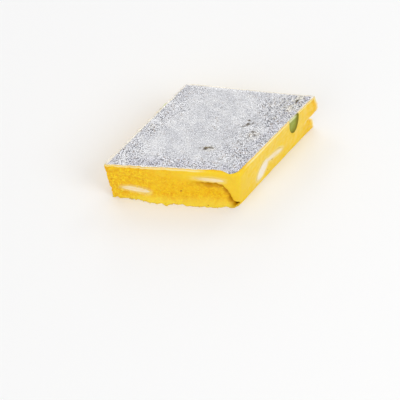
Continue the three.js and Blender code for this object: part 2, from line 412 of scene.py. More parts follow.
@dataclass(frozen=True)
class CutSides:
    """The reliefs of the four sides: the same forms as the solid's, with finer crumb on top."""

    plan: Plan
    ledge: Ledge = Ledge()
    coarse_pitch: float = 3.4
    fine_pitch: float = 1.5
    coarse_share: float = 0.6
    crumbly_relief: float = 0.45
    cut_relief: float = 0.14
    foot: Skirt = Skirt(2.0, 3.4, 1.7)
    foot_rise: Span = (-6.0, 22.0)
    foot_fall: float = 36.0
    foot_fall_by: float = 0.85
    foot_jagged: float = 0.45
    foot_pitch: float = 2.3
    foot_upright: float = 0.3
    foot_layer: float = 31.0
    toes: tuple[Swell, ...] = (
        Swell(41.2, 0.0, 1.75, 0.7, 2.1), Swell(31.5, 0.0, 7.0, 0.9, 1.1), Swell(15.6, 0.0, 2.8, 0.9, 0.55))
    rim: Skirt = Skirt(0.35, 1.1, 2.0)
    bulge: Swell = Swell(0.0, 8.9, 4.2, 4.0, 0.8)
    notch: Swell = Swell(0.0, 5.4, 3.4, 1.3, -1.3)
    lobe: Swell = Swell(0.0, 1.2, 3.2, 1.3, 0.15)
    torn_reach: float = 7.0
    right_hollow: Swell = Swell(22.0, 7.0, 13.0, 9.0, -0.25)
    back_dent: Swell = Swell(29.0, 9.0, 5.0, 3.0, -0.45)
    left_swell: Swell = Swell(40.2, 12.0, 5.0, 6.0, 0.55)
    left_crumble: Swell = Swell(14.0, 2.5, 7.0, 3.0, -0.6)
    phases: tuple[float, float, float, float] = (0.4, 1.7, 2.9, 4.3)
    top_rounds: tuple[tuple[str, float], ...] = (("a", 0.35), ("b", 1.15), ("c", 0.25), ("d", 0.5))
    base_round: float = 0.25
    corner_wear: tuple[tuple[str, float, float], ...] = (
        ("a", 1.4, 0.3), ("b", 0.8, 0.15), ("c", 1.6, 0.1), ("d", 2.4, 0.5))
    clots: Grain = Grain(1.35, 0.3)
    grains: Grain = Grain(0.62, 0.12)
    clot_share: float = 0.65
    pores: Grain = Grain(1.9, 0.14, roundness=0.2, evenness=0.0)
    drag: float = 0.02
    drag_pitch: Span = (3.5, 0.32)
    crumbly_left: Span = (10.0, 17.0)
    crumbly_base: Span = (2.2, 5.2)
    crumbly_middle: float = 0.56
    crumbly_band: Span = (9.5, 12.5)
    crumbly_patches: Drift = Drift(2.6, 20.8)
    crumbly_patchy: float = 0.25
    crumbly_least: float = 0.08
    band_calm: float = 0.5
    crumbly_shares: Span = (0.9, 0.95)
    crack_ring: Span = (0.9, 0.16)
    head_middle: float = 0.4
    left_patches: Drift = Drift(6.0, 72.0)
    left_levels: Span = (-0.25, 0.3)
    left_shares: Span = (0.45, 0.55)
    torn_shares: Span = (0.6, 0.45)
    # Darker orange patches on the torn corner
    torn_scorch: float = 0.25
    torn_scorch_layer: float = 27.0
    torn_scorch_pitch: float = 1.5
    torn_scorch_levels: Span = (0.05, 0.4)
    # A hollow at the foot of corner b, and how strongly it is painted dark as shade
    cavity: Swell = Swell(41.2, 0.75, 0.95, 0.42, -1.2)
    cavity_dark: float = 1.6
    torn_pale: Swell = Swell(3.7, 6.2, 1.3, 1.1, 0.55)
    left_heel: Swell = Swell(42.0, 4.6, 4.0, 3.2, 0.4)
    # How strongly the front's foot is painted with light, at its left and at its right, and where it changes
    foot_pale: Span = (1.3, 0.65)
    foot_pale_run: Span = (12.0, 22.0)
    # The painted highlight along the top rim and the torn edge, and the paler haze of the right side
    rim_height: float = 0.5
    rim_full: float = 0.12
    rim_front: Span = (27.0, 32.0)
    rim_right: Span = (1.0, 8.0)
    torn_edge: float = 0.7
    haze: float = 0.14
    haze_patches: Drift = Drift(1.4, 41.0)
    haze_levels: Span = (-0.4, 0.5)
    back_haze: float = 0.25

    def relief(self, x: float, z: float, phase: float, crumbled: float) -> float:
        """The broad soft lumps of a side.

        Args:
            x: Distance along the side.
            z: Height above the base.
            phase: Shifts the pattern, so that no two sides are alike.
            crumbled: How broken the face is, from 0 to 1.

        Returns:
            The push out of the side's plane.
        """
        place = Vector((x, z, 10.0 * phase))
        lumps = self.coarse_share * noise.noise(place / self.coarse_pitch)
        lumps += (1.0 - self.coarse_share) * noise.noise(place / self.fine_pitch)
        return (self.cut_relief + (self.crumbly_relief - self.cut_relief) * crumbled) * lumps

    def grain(self, x: float, z: float, phase: float, crumbly: float) -> tuple[float, float]:
        """The fine surface on top of the broad lumps: clots and grains, or knife drag and pores.

        Args:
            x: Distance along the side.
            z: Height above the base.
            phase: Shifts the pattern.
            crumbly: How grainy the face is, from 0 to 1.

        Returns:
            The push out of the side's plane, and how high the place lies on its grains, from 0 to 1.
        """
        place = Vector((x, z, 10.0 * phase))
        clot, grain = self.clots.at(place), self.grains.at(place)
        heads = self.clot_share * clot + (1.0 - self.clot_share) * grain
        broken = self.clots.relief * (clot - self.head_middle)
        broken += self.grains.relief * (grain - self.head_middle)
        drawn = noise.noise(Vector((x / self.drag_pitch[0], z / self.drag_pitch[1], phase)))
        pore = self.pores.relief * self.pores.at(place)
        return crumbly * broken + (1.0 - crumbly) * (self.drag * drawn - pore), heads

    def front_grain(self, x: float, z: float, crumbled: float) -> float:
        """How grainy the front is: most at the left, the base and the crack, little in the middle.

        Args:
            x: Distance along the side.
            z: Height above the base.
            crumbled: How broken the face is, from 0 to 1.

        Returns:
            The share of grain, from 0 to 1.
        """
        left = 1.0 - smooth(*self.crumbly_left, x)
        base = 1.0 - smooth(*self.crumbly_base, z)
        band = smooth(*self.crumbly_band, z) * smooth(*self.crumbly_left, x)
        ring, width = self.crack_ring
        off = (self.ledge.ring(x, z) - ring) / width
        crack = self.ledge.near(x) * math.exp(-off * off)
        patch = self.crumbly_patchy * self.crumbly_patches.at(x, z)
        middle = self.crumbly_middle * (1.0 - self.band_calm * band) + patch
        at_base, at_crack = self.crumbly_shares
        return crumbled * min(1.0, max(self.crumbly_least, middle, left, at_base * base, at_crack * crack))

    def front_foot(self, x: float, z: float) -> float:
        """How far the foot of the front side spreads.

        Args:
            x: Distance along the side.
            z: Height above the base.

        Returns:
            The push out of the side's plane.
        """
        spread = smooth(*self.foot_rise, x)
        spread *= 1.0 - self.foot_fall_by * smooth(self.foot_fall, self.plan.front_side, x)
        place = Vector((x / self.foot_pitch, self.foot_upright * z, self.foot_layer))
        jagged = 1.0 + self.foot_jagged * noise.noise(place)
        toes = sum(toe.at(x, z) for toe in self.toes)
        return spread * jagged * self.foot.at(z) + self.ledge.behind(x, z) * toes

    def torn(self, side: Side, x: float) -> float:
        """How near a place of a side is to the torn back right corner, from 0 to 1.

        Args:
            side: The side.
            x: Distance along the side.

        Returns:
            The nearness.
        """
        if side is Side.RIGHT:
            return 1.0 - smooth(0.0, self.torn_reach, self.plan.right_side - x)
        if side is Side.BACK:
            return 1.0 - smooth(0.0, self.torn_reach, x)
        return 0.0

    def form(self, side: Side, x: float, z: float) -> float:
        """The main form of a side, without its lumps and grains.

        Args:
            side: The side.
            x: Distance along the side.
            z: Height above the base.

        Returns:
            The push out of the side's plane.
        """
        if side is Side.FRONT:
            drop = self.ledge.depth * self.ledge.near(x) * self.ledge.behind(x, z)
            return self.front_foot(x, z) - drop
        if side is Side.LEFT:
            return self.left_swell.at(x, z) + self.left_crumble.at(x, z) + self.left_heel.at(x, z)
        distance = self.plan.right_side - x if side is Side.RIGHT else x
        own = self.right_hollow if side is Side.RIGHT else self.back_dent
        tear = self.bulge.at(distance, z) + self.notch.at(distance, z) + self.lobe.at(distance, z)
        return own.at(x, z) + self.rim.at(z) + tear

    def broken(self, side: Side, x: float, z: float) -> tuple[float, float]:
        """How broken a side is at a place: in its broad lumps, and in its grain.

        Args:
            side: The side.
            x: Distance along the side.
            z: Height above the base.

        Returns:
            The two shares, from 0 to 1.
        """
        if side is Side.FRONT:
            crumbled = 1.0 - self.ledge.near(x) * (1.0 - self.ledge.behind(x, z))
            return crumbled, self.front_grain(x, z, crumbled)
        if side is Side.LEFT:
            even, patchy = self.left_shares
            return 1.0, even + patchy * smooth(*self.left_levels, self.left_patches.at(x, z))
        in_lumps, in_grain = self.torn_shares
        torn = self.torn(side, x)
        return in_lumps * torn, in_grain * math.sqrt(torn)

    def raw(self, side: Side, x: float, z: float) -> Surface:
        """A side's surface before its edges are worn.

        Args:
            side: The side.
            x: Distance along the side.
            z: Height above the base.

        Returns:
            The surface.
        """
        phase = self.phases[side.number]
        crumbled, crumbly = self.broken(side, x, z)
        fine, heads = self.grain(x, z, phase, crumbly)
        push = self.form(side, x, z) + self.relief(x, z, phase, crumbled) + fine
        # Painted highlight along the top rim and the torn edge, and paler patches
        pale = self.pale_rim(side, x, z)
        if side is not Side.FRONT:
            # Painted light on the narrow skirt at the base
            foot = self.rim.at(z) if side is not Side.LEFT else 0.0
            # Darker orange patches on the torn corner
            patches = Drift(self.torn_scorch_pitch, self.torn_scorch_layer + phase)
            scorch = self.torn_scorch * self.torn(side, x)
            scorch *= smooth(*self.torn_scorch_levels, patches.at(x, z))
            return Surface(push, crumbly, heads, foot, rim=pale, scorch=scorch)
        gap, hole = self.ledge.gap(x, z), self.cavity.at(x, z)
        push += hole - self.ledge.gap_depth * gap
        # Painted light on the front's spreading foot, which faces up
        at_left, at_right = self.foot_pale
        foot = self.front_foot(x, z) * (at_left + (at_right - at_left) * smooth(*self.foot_pale_run, x))
        # Painted shade in the crack's gap and in the cavity at corner b
        dark = max(gap, -self.cavity_dark * hole)
        return Surface(push, crumbly, heads, min(1.0, foot), dark, pale, self.ledge.scorch(x, z))

    def pale_rim(self, side: Side, x: float, z: float) -> float:
        """How pale the paste is painted: a painted highlight along its top rim and on the torn corner's edge,
        and paler patches on the torn corner and the right side, from 0 to 1.

        Args:
            side: The side.
            x: Distance along the side.
            z: Height above the base.

        Returns:
            The share of painted highlight and pale paste.
        """
        share = 1.0
        if side is Side.FRONT:
            share -= smooth(*self.rim_front, x)
        if side is Side.RIGHT:
            share = smooth(*self.rim_right, x)
        top = share * smooth(self.plan.height - self.rim_height, self.plan.height - self.rim_full, z)
        if side in (Side.FRONT, Side.LEFT):
            return top
        distance = self.plan.right_side - x if side is Side.RIGHT else x
        haze = self.haze * smooth(*self.haze_levels, self.haze_patches.at(x, z))
        haze *= smooth(*self.rim_right, x) if side is Side.RIGHT else self.back_haze
        return max(top, haze, math.exp(-((distance / self.torn_edge) ** 2)), self.torn_pale.at(distance, z))

    def top_round(self, side: Side, x: float) -> float:
        """The radius of the rounded top edge, which changes from corner to corner.

        Args:
            side: The side.
            x: Distance along the side.

        Returns:
            The radius.
        """
        rounds = dict(self.top_rounds)
        share = min(1.0, max(0.0, x / self.plan.length(side)))
        return rounds[side.start] + (rounds[side.end] - rounds[side.start]) * share

    def wear(self, side: Side, x: float, z: float) -> float:
        """How far wear draws the side in at its top, its base and its two upright corners.

        Args:
            side: The side.
            x: Distance along the side.
            z: Height above the base.

        Returns:
            The inset.
        """
        top_round = self.top_round(side, x)
        over = max(0.0, top_round - (self.plan.height - z))
        under = max(0.0, self.base_round - z)
        inset = top_round - math.sqrt(max(0.0, top_round**2 - over**2))
        inset += self.base_round - math.sqrt(self.base_round**2 - under**2)
        for corner, reach, depth in self.corner_wear:
            if corner == side.start:
                inset += depth * max(0.0, 1.0 - x / reach) ** 2
            if corner == side.end:
                inset += depth * max(0.0, 1.0 - (self.plan.length(side) - x) / reach) ** 2
        return inset

    def surface(self, side: Side, x: float, z: float) -> Surface:
        """A side's worn surface at a place."""
        raw = self.raw(side, x, z)
        return replace(raw, push=raw.push - self.wear(side, x, z))


@dataclass(frozen=True)
class Lobe:
    """One rounded lobe of a nut where the knife cut it, x along the side, z up, tilt in degrees."""

    x: float
    z: float
    length: float
    height: float
    depth: float
    tilt: float = 0.0
    bend: float = 0.0
    taper: float = 0.0
    warmth: float = 0.5
    split: float = 0.0
    seam_widths: Span = (0.06, 0.22)
    seam_opens: Span = (-0.1, -0.95)
    seam_ends: Span = (0.75, -0.6)

    def own_place(self, x: float, z: float) -> tuple[float, float]:
        """A place of the side along the lobe, 1 at its end, and its rise off the lobe's bent middle.

        Args:
            x: Distance along the side.
            z: Height above the base.

        Returns:
            The two measures.
        """
        run, rise = turned(x - self.x, z - self.z, -self.tilt)
        end = run / (self.length / 2.0)
        return end, rise - self.bend * end * end

    def ring(self, x: float, z: float) -> tuple[float, float]:
        """Where a place of the side lies against the lobe's outline.

        Args:
            x: Distance along the side.
            z: Height above the base.

        Returns:
            The ring, 1 on the outline and less inside, and the distance outside the outline.
        """
        end, rise = self.own_place(x, z)
        flank = self.height / 2.0 * (1.0 + self.taper * max(-1.0, min(1.0, end)))
        over = rise / flank
        ring = math.hypot(end, over)
        slope = math.hypot(end / (self.length / 2.0), over / flank) / max(ring, 1e-6)
        return ring, (ring - 1.0) / max(slope, 1e-6)

    def seam(self, x: float, z: float) -> float:
        """1 on the line between the nut's two halves, which opens at its first end.

        Args:
            x: Distance along the side.
            z: Height above the base.

        Returns:
            The strength of the line.
        """
        end, rise = self.own_place(x, z)
        closed, opening = self.seam_widths
        width = closed + opening * self.split * smooth(*self.seam_opens, end)
        starts, stops = self.seam_ends
        return math.exp(-((rise / width) ** 2)) * smooth(starts, stops * self.split, end)


@dataclass(frozen=True)
class NutCut:
    """A nut that shows in a side, and the solid that it stands for."""

    node: str
    side: Side
    kernel: Kernel
    lobes: tuple[Lobe, ...]
    film: float = 0.7
    halo: float = 0.3
    shade_levels: Span = (-1.2, 0.5)
    shade_up: Span = (0.25, 10.0)
    lobe_blend: float = 2.0

    def outside(self, x: float, z: float) -> float:
        """Distance outside the nut's outline, negative inside it."""
        return min(lobe.ring(x, z)[1] for lobe in self.lobes)

    def warmth(self, x: float, z: float) -> float:
        """How yellow the flesh is, from the lobes nearest to a place, or how dark in a pistachio.

        Args:
            x: Distance along the side.
            z: Height above the base.

        Returns:
            The share, from 0 to 1.
        """
        if self.kernel is Kernel.PISTACHIO:
            rise, middle = self.shade_up
            return smooth(*self.shade_levels, self.across(x) - rise * (z - middle))
        weights = [math.exp(-self.lobe_blend * lobe.ring(x, z)[0]) for lobe in self.lobes]
        return sum(w * lobe.warmth for w, lobe in zip(weights, self.lobes)) / sum(weights)

    def across(self, x: float) -> float:
        """How far along its first lobe a place lies, from -1 to 1 on its two ends."""
        lobe = self.lobes[0]
        return 2.0 * (x - lobe.x) / lobe.length

    def seam(self, x: float, z: float) -> float:
        """1 on the line between the two halves of the kernel."""
        return max(lobe.seam(x, z) for lobe in self.lobes)


NUTS: tuple[NutCut, ...] = (
    NutCut("cashew_front_left", Side.FRONT, Kernel.CASHEW,
           (Lobe(9.71, 4.15, 9.2, 2.4, 2.2, tilt=-9.5, bend=-0.15, warmth=0.55, split=0.2),), 0.6),
    NutCut("cashew_front_right", Side.FRONT, Kernel.CASHEW,
           (Lobe(32.6, 11.0, 9.4, 1.8, 2.2, tilt=-3.3, taper=0.25, warmth=0.65, split=1.0),), 0.5),
    NutCut("cashew_right", Side.RIGHT, Kernel.CASHEW,
           (Lobe(12.6, 5.1, 8.6, 5.3, 2.8, tilt=52.0, warmth=0.0, split=0.2),
            Lobe(18.5, 6.4, 11.2, 2.9, 2.0, tilt=-14.0, bend=-0.2, taper=0.1, warmth=0.4)), 1.15, 0.5),
    NutCut("pistachio_right", Side.RIGHT, Kernel.PISTACHIO,
           (Lobe(29.55, 12.8, 4.9, 11.6, 1.9, tilt=6.0),), 2.8, 0.0),
    NutCut("cashew_back", Side.BACK, Kernel.CASHEW,
           (Lobe(17.0, 7.2, 8.8, 4.2, 2.8, tilt=14.0, bend=1.1),)),
    NutCut("cashew_back_small", Side.BACK, Kernel.CASHEW,
           (Lobe(33.5, 3.6, 3.8, 2.2, 1.8, tilt=-18.0),)),
    NutCut("cashew_left", Side.LEFT, Kernel.CASHEW,
           (Lobe(28.5, 8.6, 8.4, 2.6, 2.3, tilt=8.0, bend=0.3),)),
    NutCut("pistachio_left", Side.LEFT, Kernel.PISTACHIO,
           (Lobe(12.5, 13.6, 4.2, 4.6, 1.7),), 1.2, 0.0),
)


class NodeKit:
    """A short way to add, feed and join the nodes of one tree."""

    def __init__(self, tree: bpy.types.NodeTree) -> None:
        """Keeps the tree of a material or a group."""
        self.tree = tree

    def feed(self, node: bpy.types.Node, inputs: dict) -> None:
        """Sets or joins the inputs of a node.

        Args:
            node: The node.
            inputs: A value or a socket for each input, by name or number.
        """
        for name, value in inputs.items():
            if isinstance(value, Socket):
                self.tree.links.new(value, node.inputs[name])
            else:
                node.inputs[name].default_value = value

    def add(self, kind: str, inputs: Optional[dict] = None, **settings: object) -> bpy.types.Node:
        """Adds a node.

        Args:
            kind: The node's type name.
            inputs: A value or a socket for each input, by name or number.
            **settings: Its properties.

        Returns:
            The new node.
        """
        node = self.tree.nodes.new(kind)
        for name, value in settings.items():
            setattr(node, name, value)
        self.feed(node, inputs or {})
        return node

    def math(self, operation: str, first: object, second: object, clamp: bool = False) -> Socket:
        """The result of one sum on values or sockets."""
        node = self.add("ShaderNodeMath", {0: first, 1: second}, operation=operation, use_clamp=clamp)
        return node.outputs[0]

    def times(self, first: object, second: object) -> Socket:
        """The product of two values or sockets."""
        return self.math("MULTIPLY", first, second)

    def mix(self, share: object, first: object, second: object) -> Socket:
        """The mix of two colours, each a paint or a socket."""
        low, high = (to_linear(*each) if isinstance(each, tuple) else each for each in (first, second))
        return self.add("ShaderNodeMix", {0: share, 6: low, 7: high}, data_type="RGBA").outputs[2]

    def layered(self, base: object, layers: Iterable[tuple[object, object]]) -> Socket:
        """Lays colours over a base, one after the other.

        Args:
            base: The lowest colour, a paint or a socket.
            layers: The share of each layer, and its colour, a paint or a socket.

        Returns:
            The finished colour.
        """
        for share, colour in layers:
            base = self.mix(share, base, colour)
        return base

    def ramp(self, value: Socket, low: float, high: float,
             to_low: float = 0.0, to_high: float = 1.0) -> Socket:
        """A smooth map of a value from one range to another."""
        return self.add("ShaderNodeMapRange", {0: value, 1: low, 2: high, 3: to_low, 4: to_high},
                        interpolation_type="SMOOTHSTEP", clamp=True).outputs[0]

    def attribute(self, name: str) -> Socket:
        """A mask that the mesh carries."""
        return self.add("ShaderNodeAttribute", attribute_name=name, attribute_type="GEOMETRY").outputs["Fac"]

    def place(self) -> Socket:
        """Object coordinates in millimetres."""
        where = self.add("ShaderNodeTexCoord").outputs["Object"]
        return self.add("ShaderNodeVectorMath", {0: where, "Scale": 1.0 / MM}, operation="SCALE").outputs[0]

    def bent(self, place: Socket, scale: object, detail: float, reach: tuple[float, float, float]) -> Socket:
        """A place that noise moves about, for a pattern with no straight lines.

        Args:
            place: A point in millimetres.
            scale: The scale of the noise.
            detail: The detail of the noise.
            reach: How far it moves a place.

        Returns:
            The moved place.
        """
        drift = self.add("ShaderNodeTexNoise", {"Vector": place, "Scale": scale, "Detail": detail})
        inputs = {0: drift.outputs["Color"], 1: reach, 2: place}
        return self.add("ShaderNodeVectorMath", inputs, operation="MULTIPLY_ADD").outputs[0]

    def bump(self, height: Socket, distance: float, strength: object) -> Socket:
        """The normals of a relief, its distance in millimetres."""
        inputs = {"Height": height, "Distance": distance * MM, "Strength": strength}
        return self.add("ShaderNodeBump", inputs).outputs[0]


class EffectGroups:
    """The effects that the materials are made from, each built once as a node group."""

    def start(self, name: str, inputs: dict[str, float],
              outputs: Iterable[str]) -> tuple[NodeKit, bpy.types.Node, bpy.types.Node]:
        """Makes a group with float sockets and nothing between them.

        Args:
            name: The group's name.
            inputs: The usual value of each input, by name.
            outputs: Names of its outputs.

        Returns:
            A kit for its tree, its input node and its output node.
        """
        tree = bpy.data.node_groups.new(name, "ShaderNodeTree")
        for label, value in inputs.items():
            socket = tree.interface.new_socket(label, in_out="INPUT", socket_type="NodeSocketFloat")
            socket.default_value = value
        for label in outputs:
            tree.interface.new_socket(label, in_out="OUTPUT", socket_type="NodeSocketFloat")
        kit = NodeKit(tree)
        return kit, kit.add("NodeGroupInput"), kit.add("NodeGroupOutput")

    @cache
    def mottle(self) -> bpy.types.NodeTree:
        """Soft clouds of light and dark, with a pitch in millimetres.

        Returns:
            The group.
        """
        usual = {"Pitch": 3.0, "Detail": 3.0, "Low": 0.35, "High": 0.65}
        kit, inside, outside = self.start("mottle", usual, ("Mask",))
        cloud = kit.add("ShaderNodeTexNoise", {
            "Vector": kit.place(), "Scale": kit.math("DIVIDE", 1.0, inside.outputs["Pitch"]),
            "Detail": inside.outputs["Detail"], "Roughness": 0.55})
        spread = kit.add("ShaderNodeMapRange", {
            0: cloud.outputs[0], 1: inside.outputs["Low"], 2: inside.outputs["High"]}, clamp=True)
        kit.feed(outside, {"Mask": spread.outputs[0]})
        return kit.tree

    @cache
    def crumb(self) -> bpy.types.NodeTree:
        """Packed grains: a height for bump, and a mask that is 1 in the gaps between them.

        Returns:
            The group.
        """
        kit, inside, outside = self.start("crumb", {"Pitch": 0.6}, ("Height", "Gaps"))
        place = kit.place()
        scale = kit.math("DIVIDE", 1.0, inside.outputs["Pitch"])
        bent = kit.bent(place, kit.times(scale, 0.6), 2.0, (0.5, 0.5, 0.5))
        cells = kit.add("ShaderNodeTexVoronoi", {"Vector": bent, "Scale": scale, "Smoothness": 0.35},
                        feature="SMOOTH_F1").outputs["Distance"]
        fine = kit.add("ShaderNodeTexNoise", {"Vector": place, "Scale": kit.times(scale, 3.0), "Detail": 3.0})
        height = kit.math("ADD", kit.times(cells, -0.8), kit.times(fine.outputs[0], 0.35))
        kit.feed(outside, {"Height": height, "Gaps": kit.ramp(cells, 0.42, 0.75)})
        return kit.tree

    @cache
    def specks(self) -> bpy.types.NodeTree:
        """Sparse small specks, of a pitch and a size in shares of it.

        Returns:
            The group.
        """
        kit, inside, outside = self.start("specks", {"Pitch": 3.0, "Size": 0.1, "Seed": 0.0}, ("Mask",))
        moved = kit.add("ShaderNodeVectorMath", {0: kit.place(), 1: inside.outputs["Seed"]}, operation="ADD")
        cells = kit.add("ShaderNodeTexVoronoi", {
            "Vector": moved.outputs[0], "Scale": kit.math("DIVIDE", 1.0, inside.outputs["Pitch"])})
        chosen = kit.add("ShaderNodeSeparateColor", {0: cells.outputs["Color"]})
        size = kit.times(inside.outputs["Size"], chosen.outputs[0])
        depth = kit.math("SUBTRACT", size, cells.outputs["Distance"])
        kit.feed(outside, {"Mask": kit.ramp(depth, -0.01, 0.02)})
        return kit.tree

    def use(self, kit: NodeKit, group: bpy.types.NodeTree, **values: object) -> bpy.types.Node:
        """Places a group in a material, with values for its inputs by lower-case name."""
        inputs = {name.capitalize(): value for name, value in values.items()}
        return kit.add("ShaderNodeGroup", inputs, node_tree=group)


EFFECTS = EffectGroups()


@dataclass(frozen=True)
class Clouds:
    """Soft clouds in a finish: their pitch in millimetres, their detail and the range of noise they span."""

    pitch: float
    detail: float
    low: float = 0.35
    high: float = 0.65

    def mask(self, kit: NodeKit) -> Socket:
        """The clouds in a material, from 0 to 1."""
        return EFFECTS.use(kit, EFFECTS.mottle(), **vars(self)).outputs[0]


def new_material(name: str) -> tuple[bpy.types.Material, NodeKit, bpy.types.Node]:
    """Starts a material with a single Principled shader.

    Args:
        name: The material's name.

    Returns:
        The material, a kit for its tree and its shader node.
    """
    material = bpy.data.materials.new(name)
    material.use_nodes = True
    kit = NodeKit(material.node_tree)
    return material, kit, material.node_tree.nodes["Principled BSDF"]


@dataclass(frozen=True)
class PasteFinish:
    """Saffron paste: paler and smooth where cut, the paler yellow partly a painted sheen, golden and grainy
    where broken.
    """

    # Paler yellow of the smooth cut faces: partly their own colour, partly a painted sheen
    cut: Paint = (246, 205, 42)
    broken: Paint = (245, 192, 8)
    # Lighter yellow: a painted highlight on the grain heads, and lighter tone in random clouds
    light_crumb: Paint = (255, 220, 36)
    # Darker orange: painted shade on the low grain and in the gaps between grains, and darker tone in random
    # clouds
    hollow: Paint = (226, 154, 2)
    # Painted shade in the narrow gap under the crack's lip
    crack: Paint = (196, 138, 4)
    # Darker orange: painted shade behind the crack's lip, and darker patches on the torn corner
    scorched: Paint = (216, 156, 6)
    # Painted shade, nearly black, in the cavity at corner b
    cavity: Paint = (82, 52, 6)
    # Paler yellow: painted light on the foot, which faces up
    foot: Paint = (250, 219, 66)
    # Cream: a painted highlight along the top rim and the torn corner's edge, and paler patches and halos
    rim: Paint = (255, 240, 184)
    crumb_pitch: float = 0.55
    crumb_relief: float = 0.07
    clouds: Clouds = Clouds(4.0, 4.0)
    patches: Clouds = Clouds(1.3, 3.0, 0.42, 0.66)
    blotches: Clouds = Clouds(1.7, 3.0, 0.48, 0.64)
    grit: Clouds = Clouds(0.45, 2.0, 0.5, 0.62)
    bright: Clouds = Clouds(0.6, 2.0, 0.52, 0.64)

    def material(self) -> bpy.types.Material:
        """Builds the material.

        Returns:
            The material.
        """
        material, kit, shader = new_material("saffron_paste")
        names = ("crumbly", "heads", "foot", "gap", "rim", "scorch")
        crumbly, heads, foot, gap, rim, scorch = map(kit.attribute, names)
        crumb = EFFECTS.use(kit, EFFECTS.crumb(), pitch=self.crumb_pitch)
        # Where each colour of the crumb lies, and how it grows in strength as the paste turns crumbly:
        # painted highlight on the grain heads, painted shade on the low grain and in the gaps, and lighter
        # and darker tone in random clouds
        grown = (
            (kit.ramp(heads, 0.4, 0.8), (0.2, 1.0, 0.0, 0.8), self.light_crumb),
            (kit.ramp(heads, 0.1, 0.4, 1.0, 0.0), (0.2, 1.0, 0.0, 0.5), self.hollow),
            (self.patches.mask(kit), (0.0, 1.0, 0.1, 0.45), self.light_crumb),
            (self.blotches.mask(kit), (0.15, 0.6, 0.0, 0.32), self.hollow),
            (self.grit.mask(kit), (0.1, 0.8, 0.08, 0.5), self.hollow),
            (self.bright.mask(kit), (0.1, 0.8, 0.04, 0.8), self.light_crumb),
            (crumb.outputs["Gaps"], (0.2, 1.0, 0.0, 0.3), self.hollow),
        )
        base = kit.layered(self.cut, (
            (kit.ramp(crumbly, 0.0, 0.5), self.broken),
            (kit.times(self.clouds.mask(kit), 0.3), self.light_crumb),
            *((kit.times(mask, kit.ramp(crumbly, *growth)), colour) for mask, growth, colour in grown),
            (kit.math("MULTIPLY", foot, 0.85, clamp=True), self.foot),
            (scorch, self.scorched),
            (kit.math("MINIMUM", gap, 1.0), self.crack),
            (kit.ramp(gap, 1.0, 1.7), self.cavity),
            (rim, self.rim),
        ))
        strength = kit.ramp(crumbly, 0.0, 1.0, 0.25, 1.0)
        kit.feed(shader, {
            "Base Color": base,
            "Roughness": kit.ramp(crumbly, 0.0, 1.0, 0.46, 0.68),
            "Normal": kit.bump(crumb.outputs["Height"], self.crumb_relief, strength),
            "Specular IOR Level": kit.ramp(gap, 0.0, 1.0, 0.3, 0.0),
            "Subsurface Weight": 0.18,
            "Subsurface Radius": (1.0, 0.55, 0.12),
            "Subsurface Scale": 1.2 * MM,
            "IOR": 1.45,
        })
        return material


@dataclass(frozen=True)
class FleckFinish:
    """Saffron and scorched milk, golden brown in the paste and dark where the leaf is torn."""

    dark: Paint = (84, 62, 46)
    olive: Paint = (128, 112, 74)
    golden: Paint = (186, 122, 12)
    clouds: Clouds = Clouds(0.4, 3.0)

    def material(self) -> bpy.types.Material:
        """Builds the material.

        Returns:
            The material.
        """
        material, kit, shader = new_material("saffron_fleck")
        layers = ((self.clouds.mask(kit), self.olive), (kit.attribute("sunk"), self.golden))
        kit.feed(shader, {"Base Color": kit.layered(self.dark, layers), "Roughness": 0.6})
        return material


